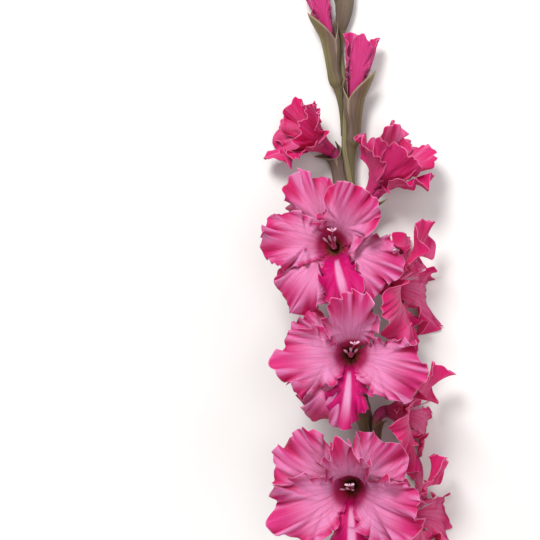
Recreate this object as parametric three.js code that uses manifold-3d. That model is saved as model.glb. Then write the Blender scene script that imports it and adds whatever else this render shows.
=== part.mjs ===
// A cut gladiolus flower spike, laid down on its back.
// Millimetres, +Z up. The stem runs along Y, from the cut end at -Y to the closed buds at +Y.
// The open florets look up. The right-hand rank leans over and rests its lowest petals on the surface, and so
// does the half-open floret on the left.
import * as THREE from "three";
import { mergeVertices } from "three/addons/utils/BufferGeometryUtils.js";
import Module from "manifold-3d";

const wasm = await Module();
wasm.setup();
const { Manifold, Mesh } = wasm;

// ---- driving dimensions ----
const GAP = 0.3; // between two pieces that touch
const PETAL = 0.7; // thickness of a petal
const BRACT = 0.8; // thickness of a bract
const LEAF = 1.2; // thickness of a leaf

const STEM = {
  cutEnd: -400, // Y of the cut end
  tip: 290, // Y of the tip, under the last bud
  rCut: 5.4, // radius at the cut end
  rSpike: 4.4, // radius where the flowers start
  rTip: 1.1, // radius at the tip
  lift: 17, // height of the axis among the open florets
  liftTip: 2.8, // height of the axis at the tip
  zigzag: 1.3, // sideways step of the stem from node to node
  sides: 10,
};
const CUT_SLANT = 6; // how far the slanting cut runs along the stem

// The flowers that show colour, from the lowest up. "at" is a flower's Y on the stem, "turn" the angle of its
// side of the stem from straight up (plus is to +X), "reach" and "rise" the distance of its throat from that
// place, out from the axis and along it, "look" and "pitch" the direction that it opens in, "roll" its own
// turn, "size" its scale and "bract" the length of its outer bract.
const FLOWERS = [
  ["01", "side", -214, 56, 24, 26, 70, 5, 9, 0.9, 34],
  ["02", "round", -198, -20, 42, 37, -8, -9, 0, 1.04, 46],
  ["03", "side", -137, 56, 24, 28, 72, -4, -8, 0.8, 30],
  ["04", "hood", -120, -14, 40, 57, 0, 0, 0, 1, 48],
  ["05", "side", -50, 56, 20, 38, 68, -2, 4, 1, 38],
  ["06", "split", -16, -24, 40, 34, -8, 5, -1, 1, 42],
  ["07", "half", 24, 62, 16, 28, 56, 48, 2, 1, 42],
  ["08", "cupped", 63, -96, 14, 30, -50, 30, 10, 0.8, 42],
  ["09", "opening", 95, 58, 11, 38, 55, 75, 0, 1, 62],
  ["10", "opening", 142, -60, 11, 40, -60, 76, 0, 0.78, 62],
].map(([id, ring, at, turn, reach, rise, look, pitch, roll, size, bract]) => (
  { id, ring, at, turn, reach, rise, look, pitch, roll, size, bract }
));

// The closed buds above them: id, place on the stem, side, length and width.
const BUDS = [
  ["11", 185, 58, 56, 12],
  ["12", 216, -56, 50, 10.5],
  ["13", 245, 54, 40, 9],
  ["14", 265, -54, 27, 7],
  ["15", 289, 10, 30, 5.6],
].map(([id, at, turn, length, width]) => ({ id, at, turn, length, width }));

// Tepals in their rings. phi is a tepal's place round the throat from the top, plus to the left; long and
// half are its length and half width; bend holds the angles from the floret's axis at its base, middle and
// tip; cup is its curvature across, outside the throat; ply is 1 in front and -1 behind; furl lays one edge
// over the next.
const HOOD = { long: 75, half: 21, bend: [8, 44, 68], cup: 0.012, ply: 1 };
const WIDE = { long: 73, half: 25, bend: [8, 60, 96], cup: -0.006, ply: 1 };
const BACK = { long: 70, half: 21, bend: [10, 72, 108], cup: -0.008, ply: -1 };
const LIP = { long: 67, half: 17, bend: [10, 70, 94], cup: -0.03, ply: -1 };
const FURLED = { long: 49, half: 11.5, bend: [12, 8, 1], cup: 0.11, ply: 0, furl: 1.1 };
const RINGS = {
  // the top tepal in front, hooded over the throat
  hood: [
    { phi: 0, ...HOOD },
    { phi: 91, ...WIDE },
    { phi: -113, ...WIDE, long: 67 },
    { phi: 173, ...LIP, half: 15 },
    { phi: 60, ...BACK, long: 60, half: 20, bend: [10, 84, 118] },
    { phi: 150, ...BACK, long: 77, half: 20, ply: -3 },
  ],
  // full and round, with all six tepals showing
  round: [
    { phi: 0, ...HOOD, long: 64, half: 18 },
    { phi: 102, ...WIDE },
    { phi: -112, ...WIDE, long: 70 },
    { phi: 177, ...LIP },
    { phi: 50, ...BACK, long: 79, half: 25, bend: [10, 66, 98] },
    { phi: -48, ...BACK, long: 62, half: 25, bend: [10, 66, 98] },
  ],
  // turned half a step, with the lip in front
  split: [
    { phi: -38, ...WIDE, long: 70, half: 22, bend: [8, 50, 84] },
    { phi: 82, ...WIDE, long: 66, half: 23 },
    { phi: 192, ...LIP, ply: 1 },
    { phi: 22, ...BACK, long: 75, half: 19, bend: [10, 62, 92] },
    { phi: 142, ...BACK, long: 74 },
    { phi: -118, ...BACK, long: 67, half: 24 },
  ],
  // looking sideways, with its lower tepals bent back where they meet the surface
  side: [
    { phi: 0, ...HOOD, long: 68, half: 20, bend: [8, 54, 80] },
    { phi: 118, ...WIDE, long: 66, half: 25, bend: [8, 78, 126] },
    { phi: -118, ...WIDE, bend: [8, 84, 118] },
    { phi: 180, ...LIP, half: 19 },
    { phi: 60, ...BACK, long: 62, half: 22, bend: [10, 80, 124] },
    { phi: -60, ...BACK, bend: [10, 88, 124] },
  ],
  // half open, a funnel with its edges turning out
  half: [
    { phi: 0, long: 64, half: 20, bend: [6, 18, 26], cup: 0.03, ply: 1 },
    { phi: 120, long: 60, half: 22, bend: [6, 24, 40], cup: 0.02, ply: 1 },
    { phi: -120, long: 60, half: 22, bend: [6, 24, 40], cup: 0.02, ply: 1 },
    { phi: 180, long: 58, half: 18, bend: [6, 32, 66], cup: 0.01, ply: -1 },
    { phi: 60, long: 60, half: 21, bend: [6, 28, 54], cup: 0.01, ply: -1 },
    { phi: -60, long: 62, half: 22, bend: [6, 32, 64], cup: 0.01, ply: -1 },
  ],
  // half open and still cupped, with the tepals next to the surface bent out to it
  cupped: [
    { phi: 0, long: 60, half: 21, bend: [6, 22, 40], cup: 0.03, ply: 1 },
    { phi: 120, long: 62, half: 22, bend: [6, 44, 86], cup: 0.01, ply: 1 },
    { phi: -120, long: 56, half: 24, bend: [6, 18, 34], cup: 0.03, ply: 1 },
    { phi: 180, long: 56, half: 22, bend: [6, 28, 56], cup: 0.02, ply: -1 },
    { phi: 60, long: 62, half: 22, bend: [6, 40, 84], cup: 0.01, ply: -1 },
    { phi: -60, long: 56, half: 23, bend: [6, 22, 44], cup: 0.02, ply: -1 },
  ],
  // just leaving its bracts, three outer tepals wrapped round one another
  opening: [
    { phi: 0, ...FURLED },
    { phi: 120, ...FURLED },
    { phi: -120, ...FURLED },
  ],
};

// What sets each ring apart: ruffle is the height of the waves at a petal's edge, claw how late it widens,
// flare how far its foot spreads round the throat, and throat the radius where the petals part. belly is how
// far the flower's bracts swell, and notch the height of the notches between them, of the outer one's length.
const SHAPE = {
  hood: { ruffle: 8.4, claw: 1.4, flare: 4, throat: 5, belly: 2.2, notch: 0.36 },
  round: { ruffle: 8.4, claw: 1.4, flare: 4, throat: 5, belly: 2.2, notch: 0.36 },
  split: { ruffle: 8.4, claw: 1.4, flare: 4, throat: 5, belly: 2.2, notch: 0.36 },
  side: { ruffle: 8, claw: 1.5, flare: 4, throat: 5, belly: 0.6, notch: 0.36 },
  half: { ruffle: 4.6, claw: 2.3, flare: 0, throat: 4.8, belly: 0.6, notch: 0.6 },
  cupped: { ruffle: 5.6, claw: 1.4, flare: 0, throat: 5, belly: 0, notch: 0.6 },
  opening: { ruffle: 3, claw: 2.3, flare: 0, throat: 4.2, belly: 0.6, notch: 0.6 },
};
const WIDE_OPEN = ["hood", "round", "split", "side"]; // the rings that show their stamens
// Cells across a petal in each row of its mesh, from its base to its tip.
const CELLS = {
  hood: [3, 4, 5, 6, 8, 8],
  round: [3, 4, 5, 6, 8, 8],
  split: [3, 4, 5, 6, 8, 8],
  side: [3, 4, 5, 7, 7],
  half: [3, 4, 5, 7, 7],
  cupped: [3, 4, 5, 7, 7],
  opening: [4, 4, 5, 6],
};
const TUBE_SIDES = 8;
const TUBE_CLEAR = 3 * GAP + BRACT; // from the stem to a tube, with a bract between

const STEM_LEAF = { at: -372, turn: -30, length: 138, half: 8, spread: -9 };

// ---- small helpers ----
const rad = THREE.MathUtils.degToRad;
const vec = (x, y, z) => new THREE.Vector3(x, y, z);
const mix = THREE.MathUtils.lerp;

// A fixed draw from 0 to 1 for a seed and an index.
function draw(seed, i) {
  const s = Math.sin(seed * 12.9898 + i * 78.233) * 43758.5453;
  return s - Math.floor(s);
}

// 0 before a, 1 after b, with a smooth step between.
function ease(t, a = 0, b = 1) {
  const s = THREE.MathUtils.clamp((t - a) / (b - a), 0, 1);
  return s * s * (3 - 2 * s);
}

// What would dip below the surface lies along it instead.
const onSurface = (p, height) => p.setZ(Math.max(p.z, height));

// A sum of uneven sine waves round a petal's edge, as [waves in a full turn, height] pairs.
function waves(psi, seed, parts) {
  return parts.reduce((sum, [count, height], i) => {
    const phase = 2 * Math.PI * draw(seed, 2 * i);
    const drift = 1.1 * Math.sin(3 * psi + 2 * Math.PI * draw(seed, 2 * i + 1));
    return sum + height * Math.sin(count * psi + phase + drift);
  }, 0);
}

// ---- solids ----

// The closed solid of a three.js geometry whose shared vertices are merged.
function solidOf(geometry) {
  const bare = new THREE.BufferGeometry()
    .setAttribute("position", geometry.getAttribute("position"))
    .setIndex(geometry.index);
  const merged = mergeVertices(bare, 1e-4);
  return new Manifold(
    new Mesh({
      numProp: 3,
      vertProperties: merged.attributes.position.array,
      triVerts: new Uint32Array(merged.index.array),
    }),
  );
}

// Solids fused into one body, without loose scraps and with any sealed hollow filled.
function fused(solids) {
  const bodies = Manifold.union(solids).decompose();
  return bodies.sort((a, b) => b.volume() - a.volume())[0];
}

// A geometry from points and triangles.
function geometryOf(points, triangles) {
  const flat = points.flatMap((p) => [p.x, p.y, p.z]);
  return new THREE.BufferGeometry()
    .setAttribute("position", new THREE.BufferAttribute(new Float32Array(flat), 3))
    .setIndex(triangles);
}

// The triangles of a band between two rows of a mesh, whose counts of cells may differ.
function bandTriangles(low, high) {
  const [n, m] = [low.length - 1, high.length - 1];
  const triangles = [];
  for (let i = 0, j = 0; i < n || j < m; )
    if (j === m || (i < n && (i + 1) / n <= (j + 1) / m)) triangles.push([low[i], low[++i], high[j]]);
    else triangles.push([low[i], high[j + 1], high[j++]]);
  return triangles;
}

// A sheet becomes a closed solid of one thickness, split alike on both faces. "place" gives its point at u
// along (0 to 1) and v across (-1 to 1), "cells" the number of cells across in each row. A sleeve closes on
// itself across. No point sinks below "floor".
function sheetSolid(place, cells, thickness, { sleeve = false, floor = 0 } = {}) {
  const step = 0.01;
  const within = THREE.MathUtils.clamp;
  const facePoint = (u, v, side) => {
    const along = vec().subVectors(place(within(u + step, 0, 1), v), place(within(u - step, 0, 1), v));
    const [v0, v1] = sleeve ? [v - step, v + step] : [within(v - step, -1, 1), within(v + step, -1, 1)];
    const normal = vec().subVectors(place(u, v1), place(u, v0)).cross(along).normalize();
    return onSurface(place(u, v).addScaledVector(normal, (side * thickness) / 2), floor);
  };
  const points = [];
  const rowsOf = (side) =>
    cells.map((n, i) => {
      const start = points.length;
      const count = sleeve ? n : n + 1;
      const u = i / (cells.length - 1);
      for (let j = 0; j < count; j++) points.push(facePoint(u, (2 * j) / n - 1, side));
      return Array.from({ length: n + 1 }, (_, j) => start + (j % count));
    });
  const [front, back] = [rowsOf(1), rowsOf(-1)];
  const triangles = [];
  for (let i = 0; i < cells.length - 1; i++) {
    triangles.push(...bandTriangles(front[i], front[i + 1]));
    triangles.push(...bandTriangles(back[i], back[i + 1]).map(([a, b, c]) => [a, c, b]));
  }
  const rim = (a, b) => bandTriangles(b, a);
  triangles.push(...rim(front[0], back[0]), ...rim(back.at(-1), front.at(-1)));
  if (!sleeve) {
    const edge = (rows, j) => rows.map((row) => row.at(j));
    triangles.push(...rim(edge(front, -1), edge(back, -1)), ...rim(edge(back, 0), edge(front, 0)));
  }
  return solidOf(geometryOf(points, triangles.flat()));
}

// Rings of points become a closed solid, with a point at the middle of each end.
function ringSolid(rings) {
  const sides = rings[0].length;
  const middle = (ring) => ring.reduce((m, p) => m.addScaledVector(p, 1 / sides), vec(0, 0, 0));
  const points = [...rings.flat(), middle(rings[0]), middle(rings.at(-1))];
  const [first, last] = [points.length - 2, points.length - 1];
  const triangles = [];
  for (let k = 0; k < sides; k++) {
    const n = (k + 1) % sides;
    const end = (rings.length - 1) * sides;
    triangles.push(first, n, k, last, end + k, end + n);
    for (let i = 0; i < rings.length - 1; i++) {
      const [a, b] = [i * sides + k, i * sides + n];
      triangles.push(a, b, b + sides, a, b + sides, a + sides);
    }
  }
  return solidOf(geometryOf(points, triangles));
}

// ---- stem ----

// How far the stem's axis steps to one side at y: it bends a little away from each flower.
function stemSway(y) {
  const nodes = [...FLOWERS, ...BUDS].map((f) => ({ y: f.at, x: -Math.sign(f.turn) * STEM.zigzag }));
  const next = nodes.findIndex((n) => n.y > y);
  if (next === 0) return nodes[0].x * ease(y, nodes[0].y - 120, nodes[0].y);
  if (next < 0) return nodes.at(-1).x;
  const [a, b] = [nodes[next - 1], nodes[next]];
  return mix(a.x, b.x, ease(y, a.y, b.y));
}

// The stem's axis and radius at y.
function stemAt(y) {
  const t = (y - STEM.cutEnd) / (STEM.tip - STEM.cutEnd);
  const rise = mix(STEM.rCut * 0.93, STEM.lift, ease(t, 0.06, 0.34));
  const z = mix(rise, STEM.liftTip, ease(t, 0.48, 0.9));
  const r = t < 0.3 ? mix(STEM.rCut, STEM.rSpike, t / 0.3) : mix(STEM.rSpike, STEM.rTip, (t - 0.3) / 0.7);
  return { p: vec(stemSway(y), y, z), r };
}

// The stem's solid. Its underside is flat where it lies on the surface.
function stemSolid() {
  const ys = [0, 20, 45].map((s) => STEM.cutEnd + s);
  for (let y = STEM.cutEnd + 80; y < FLOWERS[0].at - 20; y += 40) ys.push(y);
  ys.push(...[...FLOWERS, ...BUDS].map((f) => f.at), STEM.tip);
  const rings = ys.map((y, i) => {
    const { p, r } = stemAt(y);
    return Array.from({ length: STEM.sides }, (_, k) => {
      const a = (2 * Math.PI * (k + 0.5)) / STEM.sides;
      const slant = i === 0 ? CUT_SLANT * (0.5 + 0.5 * Math.cos(a)) : 0;
      return onSurface(vec(p.x + r * Math.sin(a), y + slant, p.z + r * Math.cos(a)), 0);
    });
  });
  return ringSolid(rings);
}

// ---- florets ----

// The direction out from the stem on a flower's side.
const outward = (turn) => vec(Math.sin(rad(turn)), 0, Math.cos(rad(turn)));

// What grows along the stem is pressed flat against it: "p" moves out until it clears the stem by "distance".
function besideStem(p, out, distance) {
  const stem = stemAt(p.y);
  const short = stem.r + distance - p.clone().sub(stem.p).dot(out);
  return short > 0 ? p.addScaledVector(out, short) : p;
}

// A flower's tube: a curve from its ovary on the stem to its throat, with the throat's own frame.
function tubeOf(flower) {
  const { p, r } = stemAt(flower.at);
  const out = outward(flower.turn);
  const up = vec(0, 1, 0);
  const look = outward(flower.look)
    .multiplyScalar(Math.cos(rad(flower.pitch)))
    .addScaledVector(up, Math.sin(rad(flower.pitch)));
  const start = p.clone().addScaledVector(out, r + TUBE_CLEAR + 1.6);
  const throat = p.clone().addScaledVector(out, flower.reach).addScaledVector(up, flower.rise);
  const span = start.distanceTo(throat);
  const leave = up.clone().multiplyScalar(0.9).addScaledVector(out, 0.42).normalize();
  const curve = new THREE.CubicBezierCurve3(
    start,
    start.clone().addScaledVector(leave, span * 0.42),
    throat.clone().addScaledVector(look, -span * 0.4),
    throat,
  );
  const top = up.clone().addScaledVector(look, -up.dot(look)).normalize();
  const right = vec().crossVectors(top, look);
  const roll = rad(flower.roll);
  const frame = {
    look,
    top: top.clone().multiplyScalar(Math.cos(roll)).addScaledVector(right, -Math.sin(roll)),
    right: right.clone().multiplyScalar(Math.cos(roll)).addScaledVector(top, Math.sin(roll)),
    throat,
  };
  return { curve, frame, out, length: curve.getLength(), throatR: SHAPE[flower.ring].throat * flower.size };
}

// The tube's radius along its curve: the ovary's swelling, the slim tube, the throat, then the bud beyond it.
function tubeRadius(t, tube) {
  const ovary = 0.9 * Math.exp(-(((t - 0.12) / 0.12) ** 2)) - 1.6 * (1 - ease(t, -0.02, 0.1));
  return 2.7 + ovary + (tube.throatR - 1.5) * ease(t, 0.3, 1) + 0.26 * tube.length * Math.max(0, t - 1);
}

// A round section across the tube, with its side that faces away from the stem. Past the throat, where t is
// over 1, it goes straight on.
function tubeSection(tube, t) {
  const tangent = tube.curve.getTangent(Math.min(t, 1));
  const centre = tube.curve.getPoint(Math.min(t, 1));
  centre.addScaledVector(tangent, tube.length * Math.max(0, t - 1));
  const away = vec(tube.out.z, 0, -tube.out.x).cross(tangent).normalize();
  return { centre, away, side: vec().crossVectors(tangent, away) };
}

// The point of a round section at an angle from the side that faces away from the stem.
function sectionPoint({ centre, away, side }, r, a) {
  return centre
    .clone()
    .addScaledVector(away, r * Math.cos(a))
    .addScaledVector(side, r * Math.sin(a));
}

// The closed tube with the ovary at its foot; it ends just past the petals' feet.
function tubeSolid(tube) {
  const places = [0, 0.1, 0.3, 0.55, 0.78, 1, 1 + 1.4 / tube.length];
  return ringSolid(
    places.map((t) =>
      Array.from({ length: TUBE_SIDES }, (_, k) => {
        const p = sectionPoint(tubeSection(tube, t), tubeRadius(t, tube), (2 * Math.PI * k) / TUBE_SIDES);
        return besideStem(p, tube.out, TUBE_CLEAR);
      }),
    ),
  );
}

// A petal's line from base to tip, seen from the side: its angle, radius and height at each step.
function petalProfile(tepal, throatR) {
  const steps = 60;
  const reach = 1.15;
  const [base, middle, tip] = tepal.bend.map(rad);
  const line = [];
  let [radius, height] = [throatR, 0];
  for (let i = 0; i <= steps; i++) {
    const t = (reach * i) / steps;
    const angle = base + (middle - base) * ease(t, 0.08, 0.52) + (tip - middle) * ease(t, 0.47, 1);
    const step = (tepal.long * reach) / steps;
    if (i) {
      const half = (angle + line.at(-1).angle) / 2;
      radius += Math.sin(half) * step;
      height += Math.cos(half) * step;
    }
    line.push({ angle, radius, height });
  }
  return (t) => {
    const s = THREE.MathUtils.clamp((t / reach) * steps, 0, steps - 1e-6);
    const i = Math.floor(s);
    const pick = (key) => mix(line[i][key], line[i + 1][key], s - i);
    return { angle: pick("angle"), radius: pick("radius"), height: pick("height") };
  };
}

// Where a point of a petal lies in its own plane, and how near it is to the edge: "u" runs along (0 to 1) and
// "v" across (-1 to 1). The edge is uneven.
function petalPlace(tepal, foot, u, v) {
  const corner = rad(56);
  const widest = 0.68 * tepal.long;
  const cap = tepal.long - widest;
  const shoulder = widest + cap * Math.cos(corner);
  const level = shoulder * u;
  const swell = Math.sin((Math.PI / 2) * Math.min(1, level / widest) ** tepal.claw);
  const half =
    level < widest
      ? foot + (tepal.half - foot) * swell
      : tepal.half * Math.sqrt(Math.max(0, 1 - ((level - widest) / cap) ** 2));
  const top = widest + cap * Math.cos(v * corner);
  const point = 2 * Math.exp(-((v / 0.13) ** 2)) * u ** 10;
  const x = half * ((1 - u * u) * v + (u * u * Math.sin(v * corner)) / Math.sin(corner));
  const y = u * (shoulder + (top - shoulder) * u * u) + point;
  const edge = 1 - (1 - Math.abs(v) ** 4.5) * (1 - u ** 7);
  const psi = Math.atan2(x, y - 0.4 * tepal.long);
  const fade = ease(y / tepal.long, 0.18, 0.55);
  const notch = 0.4 * tepal.ruffle * edge ** 3 * fade * waves(psi, tepal.seed + 5, [[9, 0.7], [6, 0.5]]);
  return { x: x + notch * Math.sin(psi), y: y + notch * Math.cos(psi), edge, psi, fade };
}

// How far a petal's surface stands off its smooth form: waves at the edge, pleats, swells and its ply.
function petalRelief(tepal, { x, y, edge, psi, fade }, v) {
  const along = y / tepal.long;
  const across = x / tepal.half;
  const big = waves(psi, tepal.seed, [[8, 1], [12, 0.5], [5, 0.9]]) + 0.8 * tepal.ply;
  const pleats = waves(psi, tepal.seed + 3, [[15, 1], [22, 0.6]]);
  const lean = (draw(tepal.seed, 20) - 0.5) * across;
  const curl = (draw(tepal.seed, 21) - 0.5) * Math.sin(2.6 * across) * along;
  return (
    0.5 * tepal.ruffle * edge ** 1.6 * fade * big +
    0.4 * Math.min(1, edge + 0.25) * fade * pleats +
    6 * along * along * (lean + curl) +
    tepal.ply * (0.55 + 1.4 * ease(along, 0.1, 0.5)) +
    (tepal.furl ?? 0) * v
  );
}

// A point of a petal in the part's frame.
function petalPoint(tepal, profile, tube, u, v) {
  const place = petalPlace(tepal, 1.04 * tube.throatR, u, v);
  const along = place.y / tepal.long;
  const line = profile(along);
  const { angle, height } = line;
  const radius = line.radius + tepal.flare * ease(along, 0, 0.17) * (1 - ease(along, 0.25, 0.8));
  const flat = ease(along, 0.12, 0.62);
  const bend = (1 - flat) / radius + flat * tepal.cup + 1e-6;
  const lift = (1 - Math.cos(bend * place.x)) / bend + petalRelief(tepal, place, v);
  const out = radius - Math.cos(angle) * lift;
  const axial = height + Math.sin(angle) * lift;
  const sideways = Math.sin(bend * place.x) / bend;
  const phi = rad(tepal.phi);
  const { throat, look, top, right } = tube.frame;
  return throat
    .clone()
    .addScaledVector(right, -Math.sin(phi) * out + Math.cos(phi) * sideways)
    .addScaledVector(top, Math.cos(phi) * out + Math.sin(phi) * sideways)
    .addScaledVector(look, axial);
}

// A ring's tepal as one flower grew it: sized, and a little unlike its neighbours in place, size and bend.
function grownTepal(base, index, flower) {
  const seed = Number(flower.id) * 10 + index;
  const vary = (i, span) => (2 * draw(seed, 30 + i) - 1) * span;
  const { ruffle, claw, flare } = SHAPE[flower.ring];
  return {
    ...base,
    seed,
    claw,
    ruffle: ruffle * flower.size,
    flare: flare * flower.size,
    long: base.long * flower.size * (1 + vary(0, 0.04)),
    half: base.half * flower.size * (1 + vary(1, 0.05)),
    cup: base.cup / flower.size,
    phi: base.phi + vary(2, 3),
    bend: base.bend.map((b, i) => b + (i ? vary(3 + i, 4) : 0)),
  };
}

function petalSolid(tepal, flower, tube) {
  const profile = petalProfile(tepal, tube.throatR);
  const floor = tepal.ply > 0 ? 1.2 : 0;
  const place = (u, v) => onSurface(petalPoint(tepal, profile, tube, u ** 0.9, v), floor + PETAL / 2);
  return sheetSolid(place, CELLS[flower.ring], PETAL, { floor });
}

// A floret: its petals and tube in one body.
function floretSolid(flower, tube) {
  const petals = RINGS[flower.ring].map((base, i) => petalSolid(grownTepal(base, i, flower), flower, tube));
  return fused([tubeSolid(tube), ...petals]);
}

// ---- stamens and style ----

// A rod along a curve, given as [place along the curve, radius] pairs.
function rodSolid(curve, stations, sides = 4) {
  const flank = vec(1, 0.2, 0.1).normalize();
  const rings = stations.map(([t, r]) => {
    const tangent = curve.getTangent(t);
    const a = vec().crossVectors(tangent, flank).normalize();
    const b = vec().crossVectors(tangent, a);
    return Array.from({ length: sides }, (_, k) => {
      const angle = (2 * Math.PI * k) / sides;
      const p = curve.getPoint(t);
      return p.addScaledVector(a, r * Math.cos(angle)).addScaledVector(b, r * Math.sin(angle));
    });
  });
  return ringSolid(rings);
}

// Three stamens and the style with its three lobes, grown from one short column in the throat.
function stamenSolid(flower, tube) {
  const { throat, look, top, right } = tube.frame;
  const at = (x, y, z) =>
    throat
      .clone()
      .addScaledVector(right, x * flower.size)
      .addScaledVector(top, y * flower.size)
      .addScaledVector(look, 1.4 + GAP + z * flower.size);
  const rod = (foot, knee, tip, stations) =>
    rodSolid(new THREE.QuadraticBezierCurve3(at(...foot, 4), at(...knee, 18), at(...tip)), stations);
  const stamens = [-1, 0, 1].map((n) => {
    const tip = [4.6 * n - 0.6, 6 - 1.2 * Math.abs(n), 29 + 2 * n];
    return rod([1.3 * n, -0.7], [2 * n, 1], tip, [[0, 0.55], [0.66, 0.5], [0.76, 1.2], [1, 0.7]]);
  });
  const lobes = [-3.4, 0, 3.4].map((x) =>
    rodSolid(new THREE.LineCurve3(at(2.4, 8.2, 32), at(2.5 + x, 10.4, 37)), [[0, 0.5], [1, 1]], 3),
  );
  return fused([
    rodSolid(new THREE.LineCurve3(at(0, 0, 0), at(0, 0, 6)), [[0, 2.6], [1, 2.6]], 6),
    ...stamens,
    rod([0, 1], [0.2, 4.5], [2.5, 8.6, 33], [[0, 0.55], [0.5, 0.5], [1, 0.6]]),
    ...lobes,
  ]);
}

// ---- bracts and buds ----

// A flower's two bracts: a sleeve round the tube's foot that ends in two points, the longer one on the side
// away from the stem.
function bractSolid(flower, tube) {
  const { belly, notch } = SHAPE[flower.ring];
  const place = (u, v) => {
    const off = Math.abs(((v + 3) % 2) - 1);
    const height = off < 0.5 ? 1 - 2 * (1 - notch) * off : notch + 2 * (0.82 - notch) * (off - 0.5);
    const foot = 0.1;
    const blade = Math.max(0, (u - 0.25) / 0.75);
    const t = foot * Math.min(1, 4 * u) + blade * ((height * flower.bract) / tube.length - foot);
    const clear = 0.8 + 0.7 * ease(t, 0, foot) + 1.2 * blade ** 2 + belly * Math.sin(Math.PI * blade);
    const p = sectionPoint(tubeSection(tube, t), tubeRadius(t, tube) + clear, Math.PI * v);
    return besideStem(p, tube.out, GAP + BRACT / 2);
  };
  return sheetSolid(place, [8, 8, 8, 8, 8], BRACT, { sleeve: true });
}

// A closed green bud: two bracts wrapped into a flattened spindle, the outer one's edge standing as a step.
function budSolid(bud) {
  const { p, r } = stemAt(bud.at);
  const out = outward(bud.turn);
  const start = p.addScaledVector(out, r + GAP + 0.8);
  const along = (t) => start.clone().add(vec(0, bud.length * t, 0));
  const lean = bud.length * 0.15;
  const [steps, sides] = [6, 8];
  const rings = Array.from({ length: steps + 1 }, (_, i) => {
    const t = i / steps;
    const centre = along(t).addScaledVector(out, lean * Math.sin((Math.PI / 2) * t));
    const swell = Math.sin(Math.PI * Math.min(1, 0.14 + 0.86 * t ** 0.85));
    const size = i === steps ? 0.35 : 0.5 * bud.width * swell + 0.4;
    const section = { centre, away: out, side: vec(out.z, 0, -out.x) };
    return Array.from({ length: sides }, (_, k) => {
      const a = (2 * Math.PI * k) / sides;
      const step = 1 + (0.18 * ((k + 6) % sides)) / sides;
      const q = sectionPoint(section, size * step, a);
      return onSurface(besideStem(q, out, GAP), 0);
    });
  });
  return ringSolid(rings);
}

// ---- leaves ----

// A sword-shaped stem leaf: its foot clasps the stem, its blade leaves it at a low angle.
function leafSolid(leaf) {
  const out = outward(leaf.turn);
  const flank = vec(out.z, 0, -out.x);
  const place = (u, v) => {
    const { p, r } = stemAt(leaf.at + leaf.length * u);
    const free = ease(u, 0.08, 0.5);
    const half = Math.min(leaf.half, 6 + 30 * u) * (1 - ease(u, 0.35, 1.02) ** 1.4) + 0.3;
    const bend = mix(1 / (r + GAP + LEAF), 0.02, free);
    const s = half * 1.25 * v;
    p.addScaledVector(out, r + GAP + LEAF * 0.6 + free * 1.5 - (1 - Math.cos(bend * s)) / bend);
    p.addScaledVector(flank, Math.sin(bend * s) / bend);
    p.x += leaf.spread * 2.2 * ease(u, 0.1, 1.1) * u;
    return p;
  };
  return sheetSolid(place, [4, 4, 4, 4, 3, 2, 2, 1], LEAF);
}

// ---- the spike ----

const FINISH = {
  petal: { color: 0xd6548f, roughness: 0.55 },
  bud: { color: 0xc9447f, roughness: 0.55 },
  stamen: { color: 0xe6c3d4, roughness: 0.6 },
  bract: { color: 0x7d7a55, roughness: 0.6 },
  leaf: { color: 0x5f8a48, roughness: 0.55 },
  stem: { color: 0x8b8a5c, roughness: 0.6 },
};

const spike = new THREE.Group();

function addPiece(name, finish, solid) {
  const { numProp, numVert, vertProperties, triVerts } = solid.getMesh();
  const positions = new Float32Array(numVert * 3);
  for (let i = 0; i < numVert; i++) {
    const from = i * numProp;
    positions.set(vertProperties.subarray(from, from + 3), i * 3);
  }
  const geometry = new THREE.BufferGeometry()
    .setAttribute("position", new THREE.BufferAttribute(positions, 3))
    .setIndex(new THREE.BufferAttribute(triVerts, 1));
  geometry.computeVertexNormals();
  const mesh = new THREE.Mesh(geometry, new THREE.MeshStandardMaterial({ ...FINISH[finish], metalness: 0 }));
  mesh.name = name;
  spike.add(mesh);
}

addPiece("stem", "stem", stemSolid());
addPiece("stem_leaf", "leaf", leafSolid(STEM_LEAF));
for (const bud of BUDS) addPiece("bud_" + bud.id, "bract", budSolid(bud));
for (const flower of FLOWERS) {
  const tube = tubeOf(flower);
  addPiece("bracts_" + flower.id, "bract", bractSolid(flower, tube));
  addPiece("floret_" + flower.id, flower.ring === "opening" ? "bud" : "petal", floretSolid(flower, tube));
  if (WIDE_OPEN.includes(flower.ring)) addPiece("stamens_" + flower.id, "stamen", stamenSolid(flower, tube));
}

// The origin is under the middle of the part, on the surface that it lies on.
const box = new THREE.Box3().setFromObject(spike);
const middle = box.getCenter(new THREE.Vector3());
spike.children.forEach((mesh) => mesh.position.set(-middle.x, -middle.y, -box.min.z));

export default spike;
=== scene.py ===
"""A cut gladiolus flower spike lying on its back.

Every petal, bract, bud and stamen is grown again from the spike's driving dimensions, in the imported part's
place, with the frills, veins and finishes that its solids leave out. Lengths in this file are millimetres
unless a property says otherwise, and Blender's objects are in metres.
"""

import math

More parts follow.
